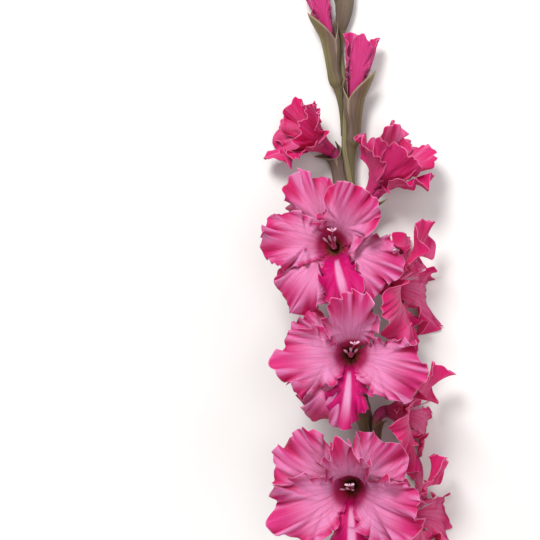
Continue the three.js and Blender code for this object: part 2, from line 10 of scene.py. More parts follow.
import bmesh
import bpy
import numpy as np
from bpy.props import FloatProperty, FloatVectorProperty, PointerProperty
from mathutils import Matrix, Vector


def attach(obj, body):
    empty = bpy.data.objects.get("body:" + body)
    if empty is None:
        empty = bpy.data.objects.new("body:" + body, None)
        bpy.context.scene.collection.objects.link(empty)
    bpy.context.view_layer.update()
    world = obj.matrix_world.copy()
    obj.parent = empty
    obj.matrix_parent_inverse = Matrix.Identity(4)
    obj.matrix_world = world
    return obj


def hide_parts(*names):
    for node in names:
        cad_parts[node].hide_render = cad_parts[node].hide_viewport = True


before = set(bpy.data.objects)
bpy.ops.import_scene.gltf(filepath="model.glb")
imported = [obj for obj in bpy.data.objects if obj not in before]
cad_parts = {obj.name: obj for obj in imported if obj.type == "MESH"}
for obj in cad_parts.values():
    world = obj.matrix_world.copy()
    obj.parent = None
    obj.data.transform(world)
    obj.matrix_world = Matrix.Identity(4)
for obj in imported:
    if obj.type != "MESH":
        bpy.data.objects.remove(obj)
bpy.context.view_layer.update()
BODY = "root"
MM = 0.001

bl_info = {
    "name": "Gladiolus flower spike",
    "version": (1, 0, 0),
    "blender": (4, 5, 0),
    "location": "3D View > Sidebar > Gladiolus",
    "description": "Grows the petals, bracts, buds, stem and leaf of one cut flower spike",
    "category": "Object",
}

# ---- driving dimensions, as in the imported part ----


def table(keys, *rows):
    """Rows of values as dictionaries with the same keys."""
    return [dict(zip(keys.split(), row)) for row in rows]


def placed(phi, kind, **own):
    """A tepal of some kind at an angle round its floret's axis, with what is its own."""
    return {"phi": phi, **kind, **own}


# The clearance between pieces, and the thickness of a bract and of the leaf.
GAP = 0.3
BRACT = 0.8
LEAF = 1.2

STEM = {
    "cut_end": -400,
    "tip": 290,
    "r_cut": 5.4,
    "r_spike": 4.4,
    "r_tip": 1.1,
    "lift": 17,
    "lift_tip": 2.8,
    "zigzag": 1.3,
}
UP_STEM = np.array([0.0, 1, 0])

# How far the cut slants, how far up the stem that slant fades out, and how far below the lowest flower the
# stem starts to sway.
CUT_SLANT = 6
CUT_FADE = 20
SWAY_RUN = 120

# A tube clears the stem by this, which leaves room for its bracts.
TUBE_CLEAR = 3 * GAP + BRACT

# A flower grows "at" a place along the stem, on the side that "turn" gives. Its throat lies "reach" out and
# "rise" up from there and faces along "look" and "pitch", and its longer bract is "bract" long.
FLOWERS = table(
    "id ring at turn reach rise look pitch roll size bract",
    ("01", "side", -214, 56, 24, 26, 70, 5, 9, 0.9, 34),
    ("02", "round", -198, -20, 42, 37, -8, -9, 0, 1.04, 46),
    ("03", "side", -137, 56, 24, 28, 72, -4, -8, 0.8, 30),
    ("04", "hood", -120, -14, 40, 57, 0, 0, 0, 1, 48),
    ("05", "side", -50, 56, 20, 38, 68, -2, 4, 1, 38),
    ("06", "split", -16, -24, 40, 34, -8, 5, -1, 1, 42),
    ("07", "half", 24, 62, 16, 28, 56, 48, 2, 1, 42),
    ("08", "cupped", 63, -96, 14, 30, -50, 30, 10, 0.8, 42),
    ("09", "opening", 95, 58, 11, 38, 55, 75, 0, 1, 62),
    ("10", "opening", 142, -60, 11, 40, -60, 76, 0, 0.78, 62),
)
BUDS = table(
    "id at turn length width",
    ("11", 185, 58, 56, 12),
    ("12", 216, -56, 50, 10.5),
    ("13", 245, 54, 40, 9),
    ("14", 265, -54, 27, 7),
    ("15", 289, 10, 30, 5.6),
)
STEM_LEAF = {"at": -372, "turn": -30, "length": 138, "half": 8, "spread": -9}

# The kinds of tepal: those of an open floret, the inner and outer ones of a half-open one, and rolled ones.
# Each has its length, half width, angles at its base, middle and tip, curve across, layer and roll.
HOOD = {"long": 75, "half": 21, "bend": (8, 44, 68), "cup": 0.012, "ply": 1}
WIDE = {"long": 73, "half": 25, "bend": (8, 60, 96), "cup": -0.006, "ply": 1}
BACK = {"long": 70, "half": 21, "bend": (10, 72, 108), "cup": -0.008, "ply": -1}
LIP = {"long": 67, "half": 17, "bend": (10, 70, 94), "cup": -0.03, "ply": -1, "lip": 1}
INNER = {"long": 60, "half": 22, "bend": (6, 24, 40), "cup": 0.02, "ply": 1}
OUTER = {"long": 60, "half": 22, "bend": (6, 32, 64), "cup": 0.01, "ply": -1}
FURLED = {"long": 49, "half": 11.5, "bend": (12, 8, 1), "cup": 0.11, "ply": 0, "furl": 1.1}
RINGS = {
    "hood": [
        placed(0, HOOD),
        placed(91, WIDE),
        placed(-113, WIDE, long=67),
        placed(173, LIP, half=15),
        placed(60, BACK, long=60, half=20, bend=(10, 84, 118)),
        placed(150, BACK, long=77, half=20, ply=-3),
    ],
    "round": [
        placed(0, HOOD, long=64, half=18),
        placed(102, WIDE),
        placed(-112, WIDE, long=70),
        placed(177, LIP),
        placed(50, BACK, long=79, half=25, bend=(10, 66, 98)),
        placed(-48, BACK, long=62, half=25, bend=(10, 66, 98)),
    ],
    "split": [
        placed(-38, WIDE, long=70, half=22, bend=(8, 50, 84)),
        placed(82, WIDE, long=66, half=23),
        placed(192, LIP, ply=1),
        placed(22, BACK, long=75, half=19, bend=(10, 62, 92)),
        placed(142, BACK, long=74),
        placed(-118, BACK, long=67, half=24),
    ],
    "side": [
        placed(0, HOOD, long=68, half=20, bend=(8, 54, 80)),
        placed(118, WIDE, long=66, half=25, bend=(8, 78, 126)),
        placed(-118, WIDE, bend=(8, 84, 118)),
        placed(180, LIP, half=19),
        placed(60, BACK, long=62, half=22, bend=(10, 80, 124)),
        placed(-60, BACK, bend=(10, 88, 124)),
    ],
    "half": [
        placed(0, INNER, long=64, half=20, bend=(6, 18, 26), cup=0.03),
        placed(120, INNER),
        placed(-120, INNER),
        placed(180, OUTER, long=58, half=18, bend=(6, 32, 66), lip=1),
        placed(60, OUTER, half=21, bend=(6, 28, 54)),
        placed(-60, OUTER, long=62),
    ],
    "cupped": [
        placed(0, INNER, half=21, bend=(6, 22, 40), cup=0.03),
        placed(120, INNER, long=62, bend=(6, 44, 86), cup=0.01),
        placed(-120, INNER, long=56, half=24, bend=(6, 18, 34), cup=0.03),
        placed(180, OUTER, long=56, bend=(6, 28, 56), cup=0.02, lip=1),
        placed(60, OUTER, long=62, bend=(6, 40, 84)),
        placed(-60, OUTER, long=56, half=23, bend=(6, 22, 44), cup=0.02),
    ],
    "opening": [placed(phi, FURLED) for phi in (0, 120, -120)],
}

# What sets each ring apart, as in the imported part, then the height of its close frills and how much deep
# young
# crimson its colour takes: their own colour for florets that haven't opened wide, and painted shade over the
# side rank.
SHAPES = table(
    "ring ruffle claw flare throat belly notch frill young",
    ("hood", 8.4, 1.4, 4, 5, 2.2, 0.36, 3.5, 0),
    ("round", 8.4, 1.4, 4, 5, 2.2, 0.36, 3.5, 0),
    ("split", 8.4, 1.4, 4, 5, 2.2, 0.36, 3.5, 0.05),
    # The side rank's high value paints shade over it as deep crimson.
    ("side", 8, 1.5, 4, 5, 0.6, 0.36, 3.5, 0.95),
    ("half", 4.6, 2.3, 0, 4.8, 0.6, 0.6, 2.1, 0.65),
    ("cupped", 5.6, 1.4, 0, 5, 0, 0.6, 3, 0.9),
    ("opening", 3, 2.3, 0, 4.2, 0.6, 0.6, 2.4, 0.3),
)
SHAPE = {shape["ring"]: shape for shape in SHAPES}
WIDE_OPEN = ("hood", "round", "split", "side")

# How finely the pieces are made: the sides of each round one, and the rows and columns of each sheet.
STEM_SIDES = 40
TUBE_SIDES = 32
ROD_SIDES = 12
BUD_SIDES = 64
PETAL_GRID = (50, 70)
FURLED_GRID = (36, 40)
BRACT_GRID = (36, 52)
LEAF_GRID = (60, 24)

# ---- numbers ----

# Waves round a petal: what each kind adds to the petal's seed, and its (waves in a full turn, height) pairs.
BROAD_WAVES = (0, [(8, 1), (12, 0.5), (5, 0.9)])
PLEATS = (3, [(15, 1), (22, 0.6)])
FOLDS = (4, [(29, 1), (47, 0.8)])
NOTCHES = (5, [(9, 0.7), (6, 0.5)])
FRILLS = (7, [(13, 1), (21, 0.8)])
CRIMPS = (8, [(33, 1), (47, 0.6)])

# The places of the other fixed draws: those of a petal, then that of a bract or bud.
LEAN_DRAW, CURL_DRAW, VARY_DRAW, TINT_DRAW, UNEVEN_DRAW = 20, 21, 30, 40, 50
GREEN_DRAW = 3


def draw(seed, i):
    """A fixed draw from 0 to 1 for a seed and an index."""
    s = math.sin(seed * 12.9898 + i * 78.233) * 43758.5453
    return s - math.floor(s)


def ease(t, a, b):
    """0 before a, 1 after b, with a smooth step between."""
    s = np.clip((t - a) / (b - a), 0, 1)
    return s * s * (3 - 2 * s)


def mix(a, b, t):
    return a + (b - a) * t


def waves(psi, seed, kind):
    """A sum of uneven sine waves round a petal's edge."""
    added, parts = kind
    total = np.zeros_like(psi)
    for i, (count, height) in enumerate(parts):
        phase = math.tau * draw(seed + added, 2 * i)
        drift = 1.1 * np.sin(3 * psi + math.tau * draw(seed + added, 2 * i + 1))
        total += height * np.sin(count * psi + phase + drift)
    return total


def unit(v):
    return v / np.linalg.norm(v, axis=-1, keepdims=True)


def outward(turn):
    """The direction out from the stem at a turn from straight up."""
    return np.array([math.sin(math.radians(turn)), 0, math.cos(math.radians(turn))])


def across_stem(out):
    """The direction across the stem, square to a direction out from it."""
    return np.array([out[2], 0, -out[0]])


def on_ring(centre, away, side, r, angle):
    """The point of a round section at an angle from "away" towards "side"."""
    return centre + (r * np.cos(angle))[..., None] * away + (r * np.sin(angle))[..., None] * side


def on_surface(points, height=0.0):
    """What would dip below the surface lies along it instead."""
    lifted = points.copy()
    lifted[..., 2] = np.maximum(lifted[..., 2], height)
    return lifted


def frame_shift():
    """From the spike's own frame, with its stem along Y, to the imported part's, as its stem's solid lies."""
    stem = np.array([v.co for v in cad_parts["stem"].data.vertices]) / MM
    foot = stem[stem[:, 1] < stem[:, 1].min() + CUT_SLANT]
    middle = (foot[:, 0].min() + foot[:, 0].max()) / 2
    return np.array([middle, stem[:, 1].max() - STEM["tip"], 0])


SHIFT = frame_shift()

# ---- meshes ----


class Build:
    """Closed shells gathered into one mesh, with the values that its finish reads at each point."""

    def __init__(self):
        self.points = []
        self.faces = []
        self.fields = {}
        self.count = 0

    def add(self, points, faces, **fields):
        flat = points.reshape(-1, 3)
        for name in set(fields) | set(self.fields):
            known = self.fields.setdefault(name, [np.zeros(self.count)] if self.count else [])
            known.append(np.broadcast_to(np.asarray(fields.get(name, 0.0), float).ravel(), len(flat)))
        self.points.append(flat)
        self.faces.extend((np.asarray(f) + self.count).tolist() for f in faces)
        self.count += len(flat)

    def piece(self, name, material, node, slot):
        """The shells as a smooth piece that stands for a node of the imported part."""
        mesh = bpy.data.meshes.new(name)
        points = (np.concatenate(self.points) + SHIFT) * MM
        faces = [face for group in self.faces for face in group]
        mesh.from_pydata(points.tolist(), [], faces)
        mesh.polygons.foreach_set("use_smooth", np.ones(len(mesh.polygons), bool))
        for field, parts in self.fields.items():
            layer = mesh.attributes.new(field, "FLOAT", "POINT")
            layer.data.foreach_set("value", np.concatenate(parts).astype(np.float32))
        mesh.materials.append(material)
        mesh.update()
        obj = bpy.data.objects.new(name, mesh)
        bpy.context.scene.collection.objects.link(obj)
        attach(obj, BODY)
        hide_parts(node)


def grid_faces(ids):
    """The quads of a grid of point numbers."""
    return np.stack([ids[:-1, :-1], ids[:-1, 1:], ids[1:, 1:], ids[1:, :-1]], -1).reshape(-1, 4)


def sheet_normals(points, sleeve):
    """Unit normals of a grid of points; a sleeve's last column lies on its first."""
    along = np.gradient(points, axis=0)
    if sleeve:
        across = np.roll(points[:, :-1], -1, axis=1) - np.roll(points[:, :-1], 1, axis=1)
        across = np.concatenate([across, across[:, :1]], axis=1)
    else:
        across = np.gradient(points, axis=1)
    return unit(np.cross(across, along))


def add_sheet(build, points, thickness, floor=0.0, sleeve=False, **fields):
    """A grid of points becomes a closed sheet: two faces and the rim between them."""
    normals = sheet_normals(points, sleeve)
    half = np.asarray(thickness)[..., None] / 2
    front = on_surface(points + normals * half, floor)
    back = on_surface(points - normals * half, floor)
    rows, columns = points.shape[:2]
    if sleeve:
        columns -= 1
        front, back = front[:, :columns], back[:, :columns]
    ids = np.arange(rows * columns).reshape(rows, columns)
    behind = rows * columns
    if sleeve:
        ids = np.concatenate([ids, ids[:, :1]], axis=1)
        rims = [ids[0], ids[-1, ::-1]]
    else:
        rims = [np.concatenate([ids[0, :-1], ids[:-1, -1], ids[-1, :0:-1], ids[::-1, 0]])]
    faces = [grid_faces(ids), grid_faces(ids)[:, ::-1] + behind]
    for rim in rims:
        faces.append(np.stack([rim[:-1], rim[:-1] + behind, rim[1:] + behind, rim[1:]], -1))
    sided = {
        name: np.tile(np.broadcast_to(value, points.shape[:2])[:, :columns].ravel(), 2)
        for name, value in fields.items()
    }
    side = np.repeat([1.0, -1.0], rows * columns)
    build.add(np.concatenate([front.reshape(-1, 3), back.reshape(-1, 3)]), faces, side=side, **sided)


def add_rings(build, rings, **fields):
    """Rings of points become a closed solid, with a point at the middle of each end."""
    rows, sides = rings.shape[:2]
    ids = np.arange(rows * sides).reshape(rows, sides)
    ids = np.concatenate([ids, ids[:, :1]], axis=1)
    first, last = rows * sides, rows * sides + 1
    ends = [
        np.stack([np.full(sides, first), ids[0, 1:], ids[0, :-1]], -1),
        np.stack([np.full(sides, last), ids[-1, :-1], ids[-1, 1:]], -1),
    ]
    middles = np.stack([rings[0].mean(0), rings[-1].mean(0)])
    spread = {}
    for name, value in fields.items():
        full = np.broadcast_to(value, (rows, sides))
        spread[name] = np.concatenate([full.ravel(), [full[0].mean(), full[-1].mean()]])
    build.add(np.concatenate([rings.reshape(-1, 3), middles]), [grid_faces(ids), *ends], **spread)


def full_turn(sides):
    """The angles of a ring's points."""
    return np.linspace(0, math.tau, sides, endpoint=False)


def sheet_grid(rows, columns):
    """The places of a sheet's points: from 0 to 1 along it and from -1 to 1 across."""
    along = np.linspace(0, 1, rows + 1)[:, None]
    return np.broadcast_arrays(along, np.linspace(-1, 1, columns + 1)[None, :])


def heel_grid(rows, across):
    """The places of a ridge's rows, from 0 to just short of 1, over the places across them."""
    return np.broadcast_arrays(np.linspace(0, 1, rows, endpoint=False)[:, None], across)


# ---- stem ----


def stem_sway(y):
    """How far the stem's axis steps to one side at y: it bends a little away from each flower."""
    nodes = [(f["at"], -math.copysign(STEM["zigzag"], f["turn"])) for f in FLOWERS + BUDS]
    first_y, first_x = nodes[0]
    sway = first_x * ease(y, first_y - SWAY_RUN, first_y)
    for (y_a, x_a), (y_b, x_b) in zip(nodes, nodes[1:]):
        sway = np.where(y >= y_a, mix(x_a, x_b, ease(y, y_a, y_b)), sway)
    return sway


def stem_at(y):
    """The stem's axis and radius at y."""
    y = np.asarray(y, float)
    t = (y - STEM["cut_end"]) / (STEM["tip"] - STEM["cut_end"])
    rise = mix(STEM["r_cut"] * 0.93, STEM["lift"], ease(t, 0.06, 0.34))
    z = mix(rise, STEM["lift_tip"], ease(t, 0.48, 0.9))
    thick = mix(STEM["r_cut"], STEM["r_spike"], t / 0.3)
    slim = mix(STEM["r_spike"], STEM["r_tip"], (t - 0.3) / 0.7)
    return np.stack([stem_sway(y), y, z], -1), np.where(t < 0.3, thick, slim)


def beside_stem(points, out, distance):
    """What grows along the stem is pressed flat against it, clear by a distance."""
    axis, r = stem_at(points[..., 1])
    short = r + distance - (points - axis) @ out
    return points + np.maximum(short, 0)[..., None] * out


def build_stem():
    """The stem with faint ridges along it and a swelling under each flower, and its slanting cut."""
    cut_end, tip = STEM["cut_end"], STEM["tip"]
    foot = cut_end + np.linspace(0, CUT_FADE, 9)
    ys = np.concatenate([foot, np.arange(cut_end + CUT_FADE + 2, tip, 2.5), [tip]])
    angle = full_turn(STEM_SIDES)
    axis, r = stem_at(ys)
    swell = sum(0.5 * np.exp(-(((ys - f["at"] + 3) / 5) ** 2)) for f in FLOWERS + BUDS)
    ridge = 0.12 * np.cos(9 * angle) + 0.06 * np.cos(17 * angle + 1)
    radius = np.minimum(r + swell, r + 0.28)[:, None] - 0.12 + ridge
    x = axis[:, :1] + radius * np.sin(angle)
    z = axis[:, 2:] + radius * np.cos(angle)
    fall = np.clip(1 - (ys - cut_end) / CUT_FADE, 0, 1)[:, None]
    y = ys[:, None] + fall * CUT_SLANT * (0.5 + 0.5 * np.cos(angle))
    rings = on_surface(np.stack([x, y, z], -1))
    build = Build()
    along = (ys - cut_end) / (tip - cut_end)
    cut = np.where(ys <= cut_end, 1.0, 0.0)
    add_rings(build, rings, along=along[:, None], around=angle / math.tau, cut=cut[:, None])
    return build


# ---- the floret's tube ----


class Tube:
    """A flower's tube: a curve from its ovary on the stem to its throat, with the throat's own frame."""

    STEPS = 200

    def __init__(self, flower):
        axis, r = stem_at(flower["at"])
        self.out = outward(flower["turn"])
        pitch = math.radians(flower["pitch"])
        look = outward(flower["look"]) * math.cos(pitch) + UP_STEM * math.sin(pitch)
        start = axis + self.out * (r + TUBE_CLEAR + 1.6)
        throat = axis + self.out * flower["reach"] + UP_STEM * flower["rise"]
        span = np.linalg.norm(throat - start)
        leave = unit(UP_STEM * 0.9 + self.out * 0.42)
        self.handles = np.array([start, start + leave * span * 0.42, throat - look * span * 0.4, throat])
        top = unit(UP_STEM - look * (UP_STEM @ look))
        right = np.cross(top, look)
        roll = math.radians(flower["roll"])
        self.look = look
        self.top = top * math.cos(roll) - right * math.sin(roll)
        self.right = right * math.cos(roll) + top * math.sin(roll)
        self.throat = throat
        self.throat_r = SHAPE[flower["ring"]]["throat"] * flower["size"]
        line = self.point(np.linspace(0, 1, self.STEPS + 1))
        self.length = np.linalg.norm(np.diff(line, axis=0), axis=1).sum()

    def point(self, t):
        t = np.asarray(t, float)[..., None]
        a, b, c, d = self.handles
        return (1 - t) ** 3 * a + 3 * (1 - t) ** 2 * t * b + 3 * (1 - t) * t * t * c + t**3 * d

    def tangent(self, t):
        t = np.asarray(t, float)[..., None]
        a, b, c, d = self.handles
        return unit((1 - t) ** 2 * (b - a) + 2 * (1 - t) * t * (c - b) + t * t * (d - c))

    def radius(self, t):
        """The ovary's swelling, the slim tube, the throat, then the bud beyond it."""
        ovary = 0.9 * np.exp(-(((t - 0.12) / 0.12) ** 2)) - 1.6 * (1 - ease(t, -0.02, 0.1))
        beyond = 0.26 * self.length * np.maximum(0, t - 1)
        return 2.7 + ovary + (self.throat_r - 1.5) * ease(t, 0.3, 1) + beyond

    def section(self, t, r, angle):
        """The point of a round section at an angle from its side that faces away from the stem."""
        near = np.minimum(t, 1)
        tangent = self.tangent(near)
        centre = self.point(near) + tangent * (self.length * np.maximum(0, t - 1))[..., None]
        away = unit(np.cross(across_stem(self.out), tangent))
        return on_ring(centre, away, np.cross(tangent, away), r, angle)

    def at_throat(self, x, y, z):
        """A point given from the throat: to the right, to the top and out along the floret's axis."""
        x, y, z = (np.asarray(value, float)[..., None] for value in (x, y, z))
        return self.throat + self.right * x + self.top * y + self.look * z


def add_tube(build, tube):
    """The tube as a deep cup, whose wall turns in at the throat and runs down inside to the style's foot."""
    wall, depth = 1.0, 0.8
    lip = 1 + 1.4 / tube.length
    outside = np.concatenate([np.linspace(0, 0.3, 8), np.linspace(0.34, lip, 16)])
    inside = np.linspace(lip, depth, 8)
    t = np.concatenate([outside, inside])[:, None]
    hollow = np.concatenate([np.zeros(len(outside)), np.ones(len(inside))])[:, None]
    t, angle, hollow = np.broadcast_arrays(t, full_turn(TUBE_SIDES), hollow)
    ribs = 0.14 * np.cos(6 * angle) * ease(t, 0.25, 0.6)
    r = tube.radius(t) + ribs - 0.65 * ease(t, 0.6, 0.95) - ease(t, 0.985, lip) - wall * hollow
    rings = tube.section(t, r, angle)
    pressed = beside_stem(rings, tube.out, TUBE_CLEAR)
    rings = np.where(hollow[..., None] > 0, rings, pressed)
    across, side = angle / math.pi - 1, 1 - 2 * hollow
    add_rings(build, rings, tube=1.0, along=t - 1, across=across, hollow=hollow, side=side)


# ---- petals ----

# A petal is widest at this share of its length, and beyond that it ends in an arc of twice this angle.
WIDEST = 0.68
CORNER = math.radians(56)


def petal_profile(tepal, throat_r):
    """A petal's line from base to tip, seen from the side: a function for its angle, radius and height."""
    steps, reach = 60, 1.15
    base, middle, tip = (math.radians(b) for b in tepal["bend"])
    t = np.linspace(0, reach, steps + 1)
    angle = base + (middle - base) * ease(t, 0.08, 0.52) + (tip - middle) * ease(t, 0.47, 1)
    halfway = (angle[1:] + angle[:-1]) / 2
    step = tepal["long"] * reach / steps
    radius = throat_r + np.concatenate([[0], np.cumsum(np.sin(halfway) * step)])
    height = np.concatenate([[0], np.cumsum(np.cos(halfway) * step)])
    return lambda s: tuple(np.interp(s, t, line) for line in (angle, radius, height))


def petal_place(tepal, foot, u, v):
    """Where a point of a petal lies in its own plane, and how near it is to the uneven edge."""
    long = tepal["long"]
    widest = WIDEST * long
    cap = long - widest
    shoulder = widest + cap * math.cos(CORNER)
    level = shoulder * u
    swell = np.sin((math.pi / 2) * np.minimum(1, level / widest) ** tepal["claw"])
    dome = np.sqrt(np.maximum(0, 1 - ((level - widest) / cap) ** 2))
    half = np.where(level < widest, foot + (tepal["half"] - foot) * swell, tepal["half"] * dome)
    top = widest + cap * np.cos(v * CORNER)
    point = 2 * np.exp(-((v / 0.13) ** 2)) * u**10
    x = half * ((1 - u * u) * v + (u * u * np.sin(v * CORNER)) / math.sin(CORNER))
    y = u * (shoulder + (top - shoulder) * u * u) + point
    edge = 1 - (1 - np.abs(v) ** 4.5) * (1 - u**7)
    broad = 1 - (1 - np.abs(v) ** 2.2) * (1 - u**3.2)
    psi = np.arctan2(x, y - 0.4 * long)
    fade = ease(y / long, 0.18, 0.55)
    notch = 0.4 * tepal["ruffle"] * edge**3 * fade * waves(psi, tepal["seed"], NOTCHES)
    return x + notch * np.sin(psi), y + notch * np.cos(psi), edge, broad, psi, fade


def crumple(tepal, x, y, broad, psi):
    """The close frills lean over: where they come to lie, and how far they stand off the petal."""
    seed, height = tepal["seed"], tepal["frill"]
    uneven = 0.8 + 0.35 * np.sin(2 * psi + math.tau * draw(seed, UNEVEN_DRAW))
    uneven += 0.25 * np.sin(5 * psi + draw(seed, UNEVEN_DRAW + 1))
    tight = 1 - 0.45 * tepal["young"]
    frill = waves(psi * tight, seed, FRILLS) * uneven
    crimp = waves(psi * tight, seed, CRIMPS) * uneven
    fade = ease(y / tepal["long"], 0.12, 0.45)
    near = broad**2.4 * fade
    rim = broad**5 * fade * tight
    lean = height * (0.6 * near * frill + 0.3 * rim * crimp)
    pull = height * (0.4 * near * np.abs(frill) + 0.15 * rim * crimp)
    x = x + lean * np.cos(psi) - pull * np.sin(psi)
    y = y - lean * np.sin(psi) - pull * np.cos(psi)
    return x, y, height * (near * frill + 0.5 * rim * crimp)


def petal_relief(tepal, x, y, broad, psi, fade, v):
    """How far a petal stands off its smooth form: by its waves, ply and midrib, and by its creases."""
    seed, ply = tepal["seed"], tepal["ply"]
    along, across = y / tepal["long"], x / tepal["half"]
    fan = np.arctan2(x, y + 0.12 * tepal["long"])
    folds = np.abs(waves(fan, seed, FOLDS)) - 0.6
    lean = (draw(seed, LEAN_DRAW) - 0.5) * across
    curl = (draw(seed, CURL_DRAW) - 0.5) * np.sin(2.6 * across) * along
    creases = 0.3 * np.minimum(1, broad + 0.25) * fade * waves(psi, seed, PLEATS)
    creases += 0.6 * tepal["frill"] * broad**1.2 * ease(along, 0.35, 0.8) * folds
    relief = 0.5 * tepal["ruffle"] * broad**1.8 * fade * (waves(psi, seed, BROAD_WAVES) + 0.8 * ply)
    relief += 6 * along * along * (lean + curl)
    relief += ply * (0.55 + 1.4 * ease(along, 0.1, 0.5)) + tepal.get("furl", 0) * v
    relief -= 0.5 * np.exp(-((x / 1.5) ** 2)) * ease(along, 0.1, 0.4) * (1 - ease(along, 0.75, 1.0))
    return relief, creases


def petal_point(tepal, tube, u, v):
    """Points of a petal in the spike's frame, with where they are on it."""
    x, y, edge, broad, psi, fade = petal_place(tepal, 1.04 * tube.throat_r, u, v)
    relief, creases = petal_relief(tepal, x, y, broad, psi, fade, v)
    x, y, frills = crumple(tepal, x, y, broad, psi)
    along = y / tepal["long"]
    angle, radius, height = petal_profile(tepal, tube.throat_r)(along)
    radius = radius + tepal["flare"] * ease(along, 0.0, 0.17) * (1 - ease(along, 0.25, 0.8))
    flat = ease(along, 0.12, 0.62)
    bend = (1 - flat) / radius + flat * tepal["cup"] + 1e-6
    lift = (1 - np.cos(bend * x)) / bend + relief + creases + frills
    out = radius - np.cos(angle) * lift
    axial = height + np.sin(angle) * lift
    sideways = np.sin(bend * x) / bend
    phi = math.radians(tepal["phi"])
    right = -math.sin(phi) * out + math.cos(phi) * sideways
    top = math.cos(phi) * out + math.sin(phi) * sideways
    # How far the frills and creases stand up or sink at each point; the finish paints shade into the grooves
    # and highlight onto the ridges from it.
    fold = np.tanh((1.2 * frills + 1.8 * creases) / tepal["frill"])
    return tube.at_throat(right, top, axial), along, edge, fold


def grown_tepal(base, index, flower, look):
    """A ring's tepal as one flower grew it: sized, and a little unlike its neighbours."""
    seed = int(flower["id"]) * 10 + index

    def vary(i, span):
        return (2 * draw(seed, VARY_DRAW + i) - 1) * span

    size = flower["size"]
    shape = SHAPE[flower["ring"]]
    return {
        **base,
        "seed": seed,
        "claw": shape["claw"],
        "young": shape["young"],
        "frill": look.frill * shape["frill"] * size,
        "flare": shape["flare"] * size,
        "ruffle": shape["ruffle"] * size,
        "long": base["long"] * size * (1 + vary(0, 0.04)),
        "half": base["half"] * size * (1 + vary(1, 0.05)),
        "cup": base["cup"] / size,
        "phi": base["phi"] + vary(2, 3),
        "bend": [b + (vary(3 + i, 4) if i else 0) for i, b in enumerate(base["bend"])],
    }


def add_petal(build, tepal, tube, look):
    """One petal, a closed sheet that thins out towards its rim."""
    u, v = sheet_grid(*(FURLED_GRID if "furl" in tepal else PETAL_GRID))
    points, along, edge, fold = petal_point(tepal, tube, u**0.9, v)
    floor = 1.2 if tepal["ply"] > 0 else 0.0
    points = on_surface(points, floor + 0.35)
    thick = mix(look.thick_base, look.thick_rim, ease(np.maximum(edge, along), 0.2, 1)) / MM
    fields = {"along": along, "across": v, "edge": edge, "fold": fold, "young": tepal["young"]}
    fields |= {"lip": tepal.get("lip", 0), "tint": draw(tepal["seed"], TINT_DRAW)}
    add_sheet(build, points, thick, floor=floor, **fields)


def build_floret(flower, look):
    build = Build()
    tube = Tube(flower)
    add_tube(build, tube)
    for index, base in enumerate(RINGS[flower["ring"]]):
        add_petal(build, grown_tepal(base, index, flower, look), tube, look)
    return build


# ---- stamens and style ----


def bezier(foot, knee, tip, t):
    t = np.asarray(t, float)[..., None]
    return (1 - t) ** 2 * foot + 2 * (1 - t) * t * knee + t * t * tip


def add_rod(build, line, radii, squash=1.0, **fields):
    """A round rod along a line of points; a squash under 1 flattens it."""
    tangent = unit(np.gradient(line, axis=0))
    a = unit(np.cross(tangent, unit(np.array([1, 0.2, 0.1]))))
    b = np.cross(tangent, a) * squash
    rings = on_ring(line[:, None], a[:, None], b[:, None], radii[:, None], full_turn(ROD_SIDES))
    add_rings(build, rings, **fields)


def build_stamens(flower):
    """Three stamens with their long anthers, and the style with its three lobes, from one column."""
    tube = Tube(flower)
    size = flower["size"]

    def at(x, y, z):
        return tube.at_throat(x * size, y * size, 1.7 + z * size)

    build = Build()
    t = np.linspace(0, 1, 25)
    add_rod(build, bezier(at(0, 0, -6), at(0, 0, 0), at(0, 0, 6), t), mix(1.6, 2.2, t), anther=0.0)
    for n in (-1, 0, 1):
        foot, knee = at(1.3 * n, -0.7, 4), at(2 * n, 1, 18)
        tip = at(4.6 * n - 0.6, 6 - 1.2 * abs(n), 29 + 2 * n)
        add_rod(build, bezier(foot, knee, tip, t * 0.78), mix(0.55, 0.38, t) * size, anther=0.0)
        for flank in (-1, 1):
            line = bezier(foot, knee, tip, mix(0.64, 1.0, t)) + tube.right * flank * 0.36 * size
            ends = np.sin(math.pi * np.clip(t, 0.02, 0.98)) ** 0.45
            add_rod(build, line, 0.62 * size * ends, anther=1.0)
    style = bezier(at(0, 1, 4), at(0.2, 4.5, 18), at(2.5, 8.6, 33), t)
    add_rod(build, style, mix(0.55, 0.42, t) * size, anther=0.0)
    for x in (-3.4, 0, 3.4):
        lobe = bezier(at(2.5, 8.4, 32.6), at(2.5 + 0.3 * x, 9.6, 35), at(2.5 + x, 10.4, 37), t)
        blade = 0.35 + 0.6 * np.sin(math.pi * np.clip(t * 0.62 + 0.1, 0, 1)) ** 2
        add_rod(build, lobe, blade * size * np.minimum(1, 9 * (1.04 - t)), squash=0.45, anther=2.0)
    return build


# ---- bracts and buds ----

# How far a bract's ridge runs down the stem below its flower, and a bud's in widths of the bud, and their
# rows of points.
HEEL = 38
BUD_HEEL = 1.5
HEEL_ROWS = 14
BUD_HEEL_ROWS = 10


